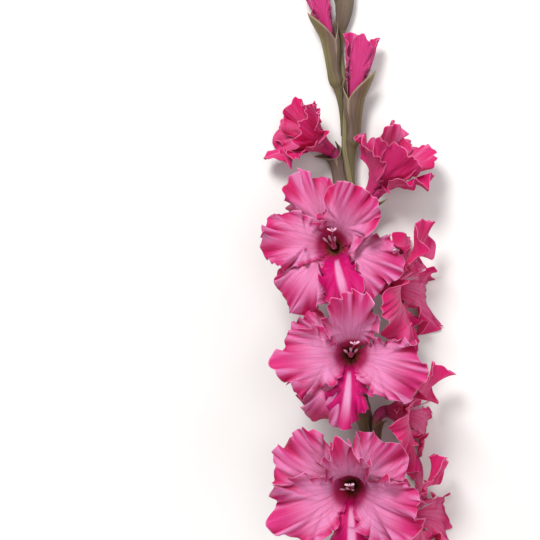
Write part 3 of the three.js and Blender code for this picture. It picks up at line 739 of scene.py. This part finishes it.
def build_bracts(flower):
    """A flower's two bracts: a sleeve that rises from a low ridge on the stem, clasps the tube's foot and
    ends in two points, the longer one outside."""
    tube = Tube(flower)
    shape = SHAPE[flower["ring"]]
    u, v = sheet_grid(*BRACT_GRID)
    off = np.abs(v)
    notch = shape["notch"]
    height = np.where(off < 0.5, 1 - 2 * (1 - notch) * off, notch + 2 * (0.82 - notch) * (off - 0.5))
    foot = 0.1
    blade = np.maximum(0, (u - 0.25) / 0.75)
    t = foot * np.minimum(1, 4 * u) + blade * (height * flower["bract"] / tube.length - foot)
    keel = 0.6 * np.exp(-((off / 0.07) ** 2)) * ease(u, 0.1, 0.4)
    belly = shape["belly"] * np.sin(math.pi * blade)
    clear = 0.8 + 0.7 * ease(t, 0, foot) + 1.2 * blade**2 + belly + keel
    r = tube.radius(t) + clear + 1.6 * (1 - ease(t, -0.02, foot))
    thick = mix(BRACT, 0.35, ease(blade, 0.3, 1))
    sleeve = beside_stem(tube.section(t, r, math.pi * v), tube.out, GAP + BRACT / 2)
    h, v_heel = heel_grid(HEEL_ROWS, v[:1])
    ridge, ridge_thick = ridge_on_stem(flower, tube.tangent(0), r[0, 0], HEEL, h, math.pi * v_heel)
    cleft = np.exp(-(((off - 0.5) / 0.05) ** 2))
    edge = np.maximum(ease(blade, 0.9, 1), cleft * ease(blade, 0.4, 0.8))
    fields = {
        "along": np.concatenate([0.3 * (h - 1), blade]),
        "across": np.concatenate([v_heel, v]),
        "edge": np.concatenate([0 * h, edge]),
        "tint": draw(int(flower["id"]), GREEN_DRAW),
    }
    build = Build()
    points, thick = np.concatenate([ridge, sleeve]), np.concatenate([ridge_thick, thick])
    add_sheet(build, points, thick, sleeve=True, **fields)
    return build


def ridge_on_stem(growth, tangent, r_top, length, h, angle):
    """The low ridge that a bract makes on the stem below its flower, from nothing at h = 0 to the bract's own
    foot at 1: its points and its thickness."""
    out = outward(growth["turn"])
    axis, r = stem_at(growth["at"] - length * (1 - h))
    w = mix(0.4, r_top, h**2)
    lean = unit(mix(UP_STEM, tangent, ease(h, 0.6, 1)[..., None]))
    away = unit(np.cross(across_stem(out), lean))
    points = on_ring(axis + (r + 0.87 * w)[..., None] * out, away, np.cross(lean, away), w, angle)
    thick = mix(0.3, BRACT, h)
    return beside_stem(points, out, mix(0.05, GAP, h) + thick / 2), thick


def build_bud(bud):
    """A closed green bud: two bracts wrapped into a flattened spindle that rises from a low ridge on the
    stem, the outer one's edge standing as a step."""
    axis, r = stem_at(bud["at"])
    out = outward(bud["turn"])
    t = np.linspace(0, 1, 51)[:, None]
    angle = full_turn(BUD_SIDES)[None, :]
    lean = bud["length"] * 0.15 * np.sin((math.pi / 2) * t)
    centre = axis + out * (r + GAP + 0.8) + lean[..., None] * out
    centre = centre + (bud["length"] * t)[..., None] * UP_STEM
    swell = np.sin(math.pi * np.minimum(1, 0.14 + 0.86 * t**0.85))
    size = np.maximum(0.3, 0.5 * bud["width"] * swell + 0.4 * (1 - ease(t, 0.9, 1)))
    wrap = (angle / math.tau + 0.75) % 1
    step = 1 + 0.18 * wrap
    spindle = beside_stem(on_ring(centre, out, across_stem(out), size * step, angle), out, GAP)
    h, turn = heel_grid(BUD_HEEL_ROWS, angle)
    ridge, _ = ridge_on_stem(bud, UP_STEM, size[0, 0] * step, BUD_HEEL * bud["width"], h, turn)
    seam = np.exp(-((((wrap + 0.5) % 1 - 0.5) / 0.04) ** 2))
    fields = {
        "along": np.concatenate([0.3 * (h[:, :1] - 1), t]),
        "across": angle / math.pi - 1,
        "edge": seam * np.concatenate([h[:, :1], 1 + 0 * t]),
        "tint": draw(int(bud["id"]), GREEN_DRAW),
    }
    build = Build()
    add_rings(build, on_surface(np.concatenate([ridge, spindle])), **fields)
    return build


# ---- leaf ----


def build_leaf():
    """The sword-shaped stem leaf: its foot clasps the stem, and its blade leaves it at a low angle."""
    leaf = STEM_LEAF
    out = outward(leaf["turn"])
    u, v = sheet_grid(*LEAF_GRID)
    axis, r = stem_at(leaf["at"] + leaf["length"] * u)
    free = ease(u, 0.08, 0.5)
    half = np.minimum(leaf["half"], 6 + 30 * u) * (1 - ease(u, 0.35, 1.02) ** 1.4) + 0.3
    bend = mix(1 / (r + GAP + LEAF), 0.02, free)
    s = half * 1.25 * v
    ribs = 0.1 * np.cos(math.pi * 9 * v) + 0.3 * np.exp(-((v / 0.08) ** 2))
    away = r + GAP + LEAF * 0.6 + free * 1.5 - (1 - np.cos(bend * s)) / bend + ribs * ease(u, 0.02, 0.1)
    points = axis + away[..., None] * out + (np.sin(bend * s) / bend)[..., None] * across_stem(out)
    points[..., 0] += leaf["spread"] * 2.2 * ease(u, 0.1, 1.1) * u
    build = Build()
    add_sheet(build, points, mix(LEAF, 0.6, np.abs(v) ** 3), along=u, across=v, edge=np.abs(v) ** 6)
    return build


# ---- shader maths ----


class Value:
    """A number that varies over a surface: a socket on which Python's operators add Math nodes."""

    def __init__(self, finish, socket):
        self.finish = finish
        self.socket = socket

    def math(self, operation, *values):
        return self.finish.node("ShaderNodeMath", {"operation": operation}, dict(enumerate(values)))

    def __add__(self, other):
        return self.math("ADD", self, other)

    def __sub__(self, other):
        return self.math("SUBTRACT", self, other)

    def __rsub__(self, other):
        return self.math("SUBTRACT", other, self)

    def __mul__(self, other):
        return self.math("MULTIPLY", self, other)

    def __pow__(self, other):
        return self.math("POWER", self, other)

    __radd__ = __add__
    __rmul__ = __mul__

    def size(self):
        return self.math("ABSOLUTE", self)

    def wave(self):
        """A sine of this many turns, brought to 0 to 1."""
        return self.math("SINE", self * math.tau) * 0.5 + 0.5

    def step(self, low, high):
        """0 below low, 1 above high, smooth between; the other way round where low is the larger."""
        if low > high:
            return 1 - self.step(high, low)
        inputs = {"Value": self, "From Min": low, "From Max": high}
        return self.finish.node("ShaderNodeMapRange", {"interpolation_type": "SMOOTHSTEP"}, inputs)


class Finish:
    """A procedural material."""

    def __init__(self, name):
        self.material = bpy.data.materials.new(name)
        self.material.use_nodes = True
        self.tree = self.material.node_tree
        self.tree.nodes.clear()

    def node(self, kind, settings=None, inputs=None, output=0):
        """Adds a node: its settings first, then its sockets' values or links. Returns one of its outputs."""
        made = self.tree.nodes.new(kind)
        for name, value in (settings or {}).items():
            setattr(made, name, value)
        for name, value in (inputs or {}).items():
            if isinstance(value, Value):
                self.tree.links.new(value.socket, made.inputs[name])
            else:
                made.inputs[name].default_value = value
        return Value(self, made.outputs[output]) if made.outputs else None

    def attributes(self, *names):
        """The values that a piece's mesh holds at each point."""
        return [self.node("ShaderNodeAttribute", {"attribute_name": name}, output="Fac") for name in names]

    def noise(self, scale, detail, stretch=None):
        """Noise from 0 to 1 in the object's own space, with its cells that many to a metre."""
        place = self.node("ShaderNodeTexCoord", output="Object")
        if stretch:
            place = self.node("ShaderNodeVectorMath", {"operation": "MULTIPLY"}, {0: place, 1: stretch})
        return self.node("ShaderNodeTexNoise", {}, {"Vector": place, "Scale": scale, "Detail": detail})

    def streaks(self, across, along, detail):
        """Noise from 0 to 1 that is drawn out along a piece's own length."""
        place = self.node("ShaderNodeCombineXYZ", {}, {"X": across, "Y": along})
        return self.node("ShaderNodeTexNoise", {}, {"Vector": place, "Scale": 1.0, "Detail": detail})

    def coat(self, colour, *layers):
        """A colour under layers that lie one over the other, each an (amount, colour) pair."""
        for amount, over in layers:
            inputs = {0: amount, 6: rgba(colour), 7: rgba(over)}
            colour = self.node("ShaderNodeMix", {"data_type": "RGBA"}, inputs, output=2)
        return colour

    def surface(self, colour, roughness, bump=None, depth=0.0, **constants):
        """The surface: what varies feeds the colour, roughness and bump; the rest is set on the sockets."""
        inputs = {"Base Color": colour, "Roughness": roughness}
        if bump is not None:
            raised = {"Height": bump, "Distance": depth, "Strength": 1.0}
            inputs["Normal"] = self.node("ShaderNodeBump", {}, raised)
        inputs.update({name.replace("_", " "): value for name, value in constants.items()})
        shader = self.node("ShaderNodeBsdfPrincipled", {}, inputs)
        self.node("ShaderNodeOutputMaterial", {}, {"Surface": shader})
        return self.material


def rgba(colour):
    """A colour's socket as it is, or three numbers with full alpha."""
    return colour if isinstance(colour, Value) else (*colour, 1.0)


def srgb(code):
    """The linear colour of a six-figure screen colour."""
    parts = [int(code[i : i + 2], 16) / 255 for i in (0, 2, 4)]
    return tuple(c / 12.92 if c <= 0.04045 else ((c + 0.055) / 1.055) ** 2.4 for c in parts)


# ---- finishes ----

# How far light runs under a green skin, for its red, green and blue.
UNDER_GREEN = {"Subsurface_Radius": (0.6, 0.8, 0.3), "Subsurface_Scale": 0.002}


def petal_finish(colours):
    """Pink petals: pale in the middle and hot pink towards the frilled edge, with a fine pale line painted
    along the rim as a highlight, fanning veins, painted shade in the grooves of the frills and painted
    highlight on their ridges, a dark throat with a green floor, and a deep lip with a pale stripe. The deep
    young crimson is the own colour of florets that haven't opened wide, and painted shade over the side rank."""
    finish = Finish("petal")
    along, across, edge, side = finish.attributes("along", "across", "edge", "side")
    lip, tint, young, fold = finish.attributes("lip", "tint", "young", "fold")
    tube, hollow = finish.attributes("tube", "hollow")
    cloud = finish.noise(60, 3)
    grain = finish.noise(420, 3)
    streak = finish.streaks(across * 9 + tint * 40, along * 1.6, 3.0)
    thread = finish.streaks(across * 21 + tint * 90, along * 1.6, 1.0)
    veins = streak.step(0.45, 0.7) * 0.45 + thread.step(0.5, 0.62) * 0.6
    # Painted shade in the grooves of the frills and creases, and painted highlight on their ridges, both read
    # from the fold.
    painted_groove_shade, ridge = fold.step(-0.1, -0.9), fold.step(0.1, 0.9)
    inner = side.step(-0.2, 0.2)
    patches = streak.step(0.3, 0.7) * 0.4

    stripe = across.size().step(0.24, 0.08) * along.step(0.16, 0.3) * along.step(1.0, 0.6)
    tongue = finish.coat(
        colours.lip,
        (along.step(0.7, 1.05) * 0.8, colours.margin),
        # the lip's veins, with painted shade in its grooves
        (veins * 0.5 + painted_groove_shade * 0.3, colours.shade),
        (stripe * (streak * 0.5 + 0.5), colours.stripe),
    )
    pale = along.step(0.2, 0.34) * along.step(0.95, 0.48) * edge.step(0.8, 0.1)
    glow = pale * (streak * 0.8 + cloud * 0.4 + 0.1)
    face = finish.coat(
        colours.face,
        (glow, colours.glow),
        (edge.step(0.25, 0.95) * (streak * 0.6 + 0.25), colours.margin),
        (painted_groove_shade * 0.75, colours.deep),
        # painted shade in the grooves, then painted highlight on the ridges
        (ridge * 0.55, colours.glow),
        (veins * 0.38, colours.deep),
        ((along + streak * 0.12 + thread * 0.14).step(0.34, 0.2) * 0.55, colours.deep),
        (lip, tongue),
        # deep young crimson, which over the side rank is painted shade
        (young * (patches + 0.5), colours.young),
    )
    back = finish.coat(
        colours.back,
        # the pale middle with painted highlight on the ridges, then veins with painted shade in the grooves
        (glow * 0.5 + ridge * 0.3, colours.face),
        (veins * 0.4 + painted_groove_shade * 0.3, colours.deep),
        # deep young crimson on the backs, which over the side rank is painted shade
        (young * (patches + 0.45), colours.young),
    )

    green = finish.noise(230, 2).step(0.42, 0.62)
    floor = finish.coat(
        colours.throat,
        ((along + streak * 0.1).step(0.08, 0.2), colours.throat_rim),
        (green * along.step(0.1, 0.0) * 0.5, colours.throat_green),
    )
    neck = finish.coat(
        colours.neck,
        (along.step(-0.75, -0.1), colours.back),
        (streak * 0.3, colours.deep),
        (hollow, floor),
        (along.step(-0.06, 0.0), colours.throat),
    )
    deep_in = (along + streak * 0.3 + thread * 0.16).step(0.36, 0.28) * inner
    colour = finish.coat(
        back,
        (inner, face),
        # a fine pale line painted along the edge as a highlight
        (edge.step(0.94, 1.0) * (streak * 0.7 + 0.1), colours.rim),
        ((grain - 0.5).size() * 0.35, colours.shade),
        (deep_in * (1 - tube), floor),
        (tube, neck),
    )
    return finish.surface(
        colour,
        0.5 + cloud * 0.2,
        veins * 0.7 + grain * 0.5,
        0.00022,
        Subsurface_Weight=0.35,
        Subsurface_Radius=(1.0, 0.2, 0.35),
        Subsurface_Scale=0.004,
        Sheen_Weight=0.03,
        Sheen_Roughness=0.45,
        Specular_IOR_Level=0.2,
    )


def green_finish(name, colours, bronze_share):
    """Bracts and buds: green under a bronze and grey bloom, with close parallel veins and a dry pale edge."""
    finish = Finish(name)
    along, across, edge, tint = finish.attributes("along", "across", "edge", "tint")
    cloud = finish.noise(38, 3, (1.0, 0.35, 1.0))
    fine = finish.noise(700, 2, (1.0, 0.08, 1.0))
    veins = finish.streaks(across * 26 + tint * 30, along * 1.2, 1.0).step(0.42, 0.62)
    threads = (across * 47).wave() ** 2
    flank = across.size().step(0.1, 0.4)
    rib = across.size().step(0.09, 0.02) * along.step(0.1, 0.3)
    bronze = (cloud + tint * 0.2 + along * 0.12 + flank * 0.1).step(0.4, 0.7) * bronze_share
    colour = finish.coat(
        colours.bract,
        (bronze, colours.bronze),
        (flank * (cloud * 0.7 + 0.3), colours.lilac),
        (veins * 0.55, colours.vein),
        (threads * 0.16 + fine * 0.2, colours.bloom),
        (rib * 0.6, colours.keel),
        (along.step(0.15, -0.2) * 0.7, colours.keel),
        (edge.step(0.2, 0.9) * 0.7, colours.dry),
    )
    relief = veins * 0.5 + threads * 0.35 + fine * 0.3
    shine = {"Subsurface_Weight": 0.08, "Specular_IOR_Level": 0.4}
    return finish.surface(colour, 0.44 + fine * 0.24, relief, 0.0004, **shine, **UNDER_GREEN)


def stem_finish(colours):
    """The stem: olive with fine long ridges, paler towards the tip, and a pale wet cut with its bundles."""
    finish = Finish("stem")
    along, around, cut = finish.attributes("along", "around", "cut")
    cloud = finish.noise(30, 3, (1.0, 0.2, 1.0))
    fibre = finish.noise(520, 3, (1.0, 0.05, 1.0))
    ridges = (around * 27).wave()
    bands = finish.streaks(around * 11, along * 5, 1.0).step(0.42, 0.6)
    bundles = finish.noise(1400, 1).step(0.5, 0.62)
    face = finish.coat(colours.pith, (bundles * 0.6, colours.stem))
    colour = finish.coat(
        colours.stem,
        (cloud.step(0.35, 0.7) * 0.5 + bands * 0.5, colours.stem_warm),
        (ridges * 0.3 + fibre * 0.25, colours.stem_pale),
        (along.step(0.35, 0.95) * 0.35, colours.stem_pale),
        (cut.step(0.55, 0.8), face),
    )
    relief = ridges * 0.5 + fibre * 0.5
    shine = {"Subsurface_Weight": 0.06, "Specular_IOR_Level": 0.45}
    return finish.surface(colour, 0.4 + fibre * 0.25, relief, 0.0003, **shine, **UNDER_GREEN)


def leaf_finish(colours):
    """The leaf: green with long parallel veins, a paler rib and a thin pale edge."""
    finish = Finish("leaf")
    across, edge, side = finish.attributes("across", "edge", "side")
    cloud = finish.noise(26, 3, (1.0, 0.3, 1.0))
    fibre = finish.noise(600, 3, (1.0, 0.05, 1.0))
    veins = (across * 4.5 + 0.25).wave()
    threads = (across * 23).wave() ** 2
    colour = finish.coat(
        colours.leaf,
        (cloud, colours.leaf_dark),
        (veins * 0.25 + threads * 0.2, colours.leaf_vein),
        (across.size().step(0.12, 0.02) * 0.6, colours.leaf_vein),
        (edge * 0.6 + side.step(0.2, -0.2) * 0.2 + fibre * 0.12, colours.stem_pale),
    )
    relief = veins * 0.5 + threads * 0.35 + fibre * 0.3
    shine = {"Subsurface_Weight": 0.06, "Specular_IOR_Level": 0.45}
    return finish.surface(colour, 0.42 + fibre * 0.2, relief, 0.00035, **shine, **UNDER_GREEN)


def stamen_finish(colours):
    """Filaments pale pink, anthers lilac with a mealy split, and the stigma's lobes nearly white."""
    finish = Finish("stamen")
    (anther,) = finish.attributes("anther")
    meal = finish.noise(1500, 3)
    on_anther = anther.step(0.2, 0.8)
    colour = finish.coat(
        colours.filament,
        (on_anther, colours.anther),
        (anther.step(1.2, 1.8), colours.stigma),
        ((meal - 0.5).size() * on_anther, colours.stigma),
    )
    skin = {"Subsurface_Weight": 0.15, "Subsurface_Radius": (1.0, 0.5, 0.6), "Subsurface_Scale": 0.002}
    return finish.surface(colour, 0.5 + meal * 0.2, meal, 0.0002, **skin)


def floor_finish(colour):
    """A pale, nearly even studio floor."""
    finish = Finish("studio_floor")
    cloud = finish.noise(3, 2)
    shade = tuple(0.94 * c for c in colour)
    return finish.surface(finish.coat(colour, (cloud, shade)), 0.75 + cloud * 0.1)


# ---- what a user may change ----


def colour_property(name, description, code):
    return FloatVectorProperty(
        name=name, description=description, subtype="COLOR", size=3, min=0.0, max=1.0, default=srgb(code)
    )


def length_property(name, description, default):
    return FloatProperty(name=name, description=description, default=default, min=0.0, unit="LENGTH")


class PetalSettings(bpy.types.PropertyGroup):
    """Sizes and colours of the petals."""

    thick_base: length_property("Thickness at base", "Thickness of a petal at its base", 0.0007)
    thick_rim: length_property("Thickness at rim", "Thickness of a petal at its edge", 0.0003)
    frill: FloatProperty(
        name="Frill",
        description="Height of the close frills at a petal's edge",
        default=1.0,
        min=0.0,
        subtype="FACTOR",
    )
    face: colour_property("Face", "Inner face of a petal", "b83472")
    # Also painted as highlight on the ridges of the frills.
    glow: colour_property("Glow", "Pale middle of a petal", "d993bd")
    margin: colour_property("Margin", "Petal near its edge", "c6216e")
    # Painted highlight along a petal's edge.
    rim: colour_property("Rim", "Fine line round the edge", "f09cbc")
    # Besides the veins and the way into the throat, this colour is painted as shade into the grooves of the
    # frills.
    deep: colour_property("Veins", "Veins and the way into the throat", "a80a48")
    # Dark pink for the grain and the lip's veins, and painted shade in the lip's grooves.
    shade: colour_property("Shade", "Darkest pink", "8f0c44")
    back: colour_property("Back", "Outer face of a petal", "b83a78")
    # Deep crimson: the own colour of florets that haven't opened wide, and painted shade over the side rank.
    young: colour_property("Young", "Petals that haven't opened wide, and the side rank's", "c40a5a")
    lip: colour_property("Lip", "Lowest petal beside its stripe", "be0066")
    stripe: colour_property("Stripe", "Stripe along the lowest petal", "dfa0c6")
    throat: colour_property("Throat", "Inside of the throat", "6e241e")
    throat_rim: colour_property("Throat rim", "Upper part of the throat", "a0143a")
    throat_green: colour_property("Throat floor", "Mottling deep in the throat", "6a6426")
    neck: colour_property("Tube", "Foot of the floret's tube", "8d8b52")


class GreenSettings(bpy.types.PropertyGroup):
    """Colours of the stem, leaf, bracts and buds."""

    stem: colour_property("Stem", "Main colour of the stem", "746c3c")
    stem_warm: colour_property("Stem, warm", "Warm patches of the stem", "6e4c48")
    stem_pale: colour_property("Stem, pale", "The stem's ridges and tip, and the leaf's edge", "90905f")
    pith: colour_property("Pith", "Cut end of the stem", "cfd2a4")
    bract: colour_property("Bract", "Green of bracts and buds", "74693a")
    bronze: colour_property("Bronze", "Bronze flush of bracts and buds", "66402c")
    keel: colour_property("Keel", "Rib and foot of bracts and buds", "7c7845")
    vein: colour_property("Vein", "Veins of bracts and buds", "4a3a24")
    lilac: colour_property("Lilac", "Flush beside the ribs of bracts and buds", "73605f")
    bloom: colour_property("Bloom", "Grey bloom over bracts and buds", "7f735d")
    dry: colour_property("Dry edge", "Dry edge of bracts and buds", "a19274")
    leaf: colour_property("Leaf", "Main colour of the leaf", "5c8744")
    leaf_dark: colour_property("Leaf, dark", "Darker patches of the leaf", "44703a")
    leaf_vein: colour_property("Leaf vein", "Veins and rib of the leaf", "8fae6c")


class StamenSettings(bpy.types.PropertyGroup):
    """Colours of the stamens and the style."""

    filament: colour_property("Filament", "Filaments and style", "b24f74")
    anther: colour_property("Anther", "Anthers", "b98aa2")
    stigma: colour_property("Stigma", "Lobes of the style", "e0b0c6")


class StageSettings(bpy.types.PropertyGroup):
    """The studio."""

    floor: colour_property("Floor", "Colour of the studio floor", "e4e2df")
    view_width: length_property("View width", "Width of the view at the florets' faces", 0.405)
    distance: length_property("Camera distance", "From the camera to the florets' faces", 1.7)


# ---- stage ----

# On the stage lengths are metres. The floor lies a little below the spike, so that they never share a face.
FLOOR_RADIUS = 6.0
FLOOR_DROP = 0.0004

# Each light's name, place, size and power in watts; all point at the florets.
LIGHTS = [
    ("key", (-0.4, 0.95, 1.4), 0.5, 30.0),
    ("top", (0.2, 0.2, 2.2), 1.0, 10.0),
    ("fill", (0.9, -0.9, 1.0), 1.4, 10.0),
]
LIT_POINT = Vector((0, 0, 0.05))
SKY_COLOUR = (0.95, 0.97, 1.0, 1.0)
SKY_STRENGTH = 0.34

# The view looks straight down. Its centre and the height of the florets' faces are in millimetres in the
# spike's frame, and its top is turned from the stem by some degrees.
VIEW_CENTRE = (-64.8, 4.0)
FACE_HEIGHT = 60
STEM_LEAN = 3.5


def add_floor(stage):
    mesh = bpy.data.meshes.new("studio_floor")
    disc = bmesh.new()
    bmesh.ops.create_circle(disc, cap_ends=True, segments=64, radius=FLOOR_RADIUS)
    disc.to_mesh(mesh)
    disc.free()
    floor = bpy.data.objects.new("studio_floor", mesh)
    floor.location.z = -FLOOR_DROP
    mesh.materials.append(floor_finish(tuple(stage.floor)))
    bpy.context.scene.collection.objects.link(floor)


def add_lights(scene):
    for name, place, size, power in LIGHTS:
        light = bpy.data.lights.new(name, "AREA")
        light.size = size
        light.energy = power
        lamp = bpy.data.objects.new(name, light)
        lamp.location = place
        lamp.rotation_euler = (LIT_POINT - Vector(place)).to_track_quat("-Z", "Y").to_euler()
        scene.collection.objects.link(lamp)
    world = bpy.data.worlds.new("studio")
    world.use_nodes = True
    background = world.node_tree.nodes["Background"]
    background.inputs["Color"].default_value = SKY_COLOUR
    background.inputs["Strength"].default_value = SKY_STRENGTH
    scene.world = world
    scene.view_settings.view_transform = "Standard"


def add_camera(scene, stage):
    camera = bpy.data.cameras.new("camera")
    camera.sensor_width = 36.0
    camera.lens = camera.sensor_width * stage.distance / stage.view_width
    camera.clip_end = 20.0
    holder = bpy.data.objects.new("camera", camera)
    x, y = (np.array(VIEW_CENTRE) + SHIFT[:2]) * MM
    holder.location = (x, y, FACE_HEIGHT * MM + stage.distance)
    holder.rotation_euler = (0, 0, -math.radians(STEM_LEAN))
    scene.collection.objects.link(holder)
    scene.camera = holder


# ---- operators ----


class GLADIOLUS_OT_stem(bpy.types.Operator):
    """Grow the stem"""

    bl_idname = "gladiolus.stem"
    bl_label = "Stem"

    def execute(self, context):
        finish = stem_finish(context.scene.gladiolus_greens)
        build_stem().piece("spike_stem", finish, "stem", "stem")
        return {"FINISHED"}


class GLADIOLUS_OT_leaf(bpy.types.Operator):
    """Grow the stem's leaf"""

    bl_idname = "gladiolus.leaf"
    bl_label = "Leaf"

    def execute(self, context):
        finish = leaf_finish(context.scene.gladiolus_greens)
        build_leaf().piece("spike_leaf", finish, "stem_leaf", "leaf")
        return {"FINISHED"}


class GLADIOLUS_OT_bracts(bpy.types.Operator):
    """Grow the pair of bracts round each flower's foot"""

    bl_idname = "gladiolus.bracts"
    bl_label = "Bracts"

    def execute(self, context):
        finish = green_finish("bract", context.scene.gladiolus_greens, 0.95)
        for flower in FLOWERS:
            name = "bracts_" + flower["id"]
            build_bracts(flower).piece("pair_of_" + name, finish, name, "bract")
        return {"FINISHED"}


class GLADIOLUS_OT_buds(bpy.types.Operator):
    """Grow the closed buds at the tip"""

    bl_idname = "gladiolus.buds"
    bl_label = "Buds"

    def execute(self, context):
        finish = green_finish("bud", context.scene.gladiolus_greens, 0.6)
        for bud in BUDS:
            name = "bud_" + bud["id"]
            build_bud(bud).piece("closed_" + name, finish, name, "bud")
        return {"FINISHED"}


class GLADIOLUS_OT_florets(bpy.types.Operator):
    """Grow the florets, each with its tube and petals"""

    bl_idname = "gladiolus.florets"
    bl_label = "Florets"

    def execute(self, context):
        look = context.scene.gladiolus_petals
        finish = petal_finish(look)
        for flower in FLOWERS:
            slot = "bud_petal" if flower["ring"] == "opening" else "petal"
            floret = build_floret(flower, look)
            floret.piece("flower_" + flower["id"], finish, "floret_" + flower["id"], slot)
        return {"FINISHED"}


class GLADIOLUS_OT_stamens(bpy.types.Operator):
    """Grow the stamens and the style of each open floret"""

    bl_idname = "gladiolus.stamens"
    bl_label = "Stamens"

    def execute(self, context):
        finish = stamen_finish(context.scene.gladiolus_stamens)
        for flower in FLOWERS:
            if flower["ring"] in WIDE_OPEN:
                name = "stamens_" + flower["id"]
                build_stamens(flower).piece("style_and_" + name, finish, name, "stamen")
        return {"FINISHED"}


class GLADIOLUS_OT_stage(bpy.types.Operator):
    """Set the floor, the lights and the camera"""

    bl_idname = "gladiolus.stage"
    bl_label = "Stage"

    def execute(self, context):
        stage = context.scene.gladiolus_stage
        add_floor(stage)
        add_lights(context.scene)
        add_camera(context.scene, stage)
        return {"FINISHED"}


OPERATORS = (
    GLADIOLUS_OT_stem,
    GLADIOLUS_OT_leaf,
    GLADIOLUS_OT_bracts,
    GLADIOLUS_OT_buds,
    GLADIOLUS_OT_florets,
    GLADIOLUS_OT_stamens,
    GLADIOLUS_OT_stage,
)
SETTINGS = {
    "gladiolus_petals": PetalSettings,
    "gladiolus_greens": GreenSettings,
    "gladiolus_stamens": StamenSettings,
    "gladiolus_stage": StageSettings,
}


class GLADIOLUS_PT_panel(bpy.types.Panel):
    """The operators, and the sizes and colours that they read"""

    bl_label = "Gladiolus"
    bl_space_type = "VIEW_3D"
    bl_region_type = "UI"
    bl_category = "Gladiolus"

    def draw(self, context):
        for operator in OPERATORS:
            self.layout.operator(operator.bl_idname)
        for group, kind in SETTINGS.items():
            box = self.layout.box()
            for name in kind.__annotations__:
                box.prop(getattr(context.scene, group), name)


CLASSES = (*SETTINGS.values(), *OPERATORS, GLADIOLUS_PT_panel)


def register():
    for kind in CLASSES:
        bpy.utils.register_class(kind)
    for name, kind in SETTINGS.items():
        setattr(bpy.types.Scene, name, PointerProperty(type=kind))


def unregister():
    for name in SETTINGS:
        delattr(bpy.types.Scene, name)
    for kind in reversed(CLASSES):
        bpy.utils.unregister_class(kind)


def main():
    register()
    bpy.ops.gladiolus.stem()
    bpy.ops.gladiolus.leaf()
    bpy.ops.gladiolus.bracts()
    bpy.ops.gladiolus.buds()
    bpy.ops.gladiolus.florets()
    bpy.ops.gladiolus.stamens()
    bpy.ops.gladiolus.stage()


if __name__ == "__main__":
    main()
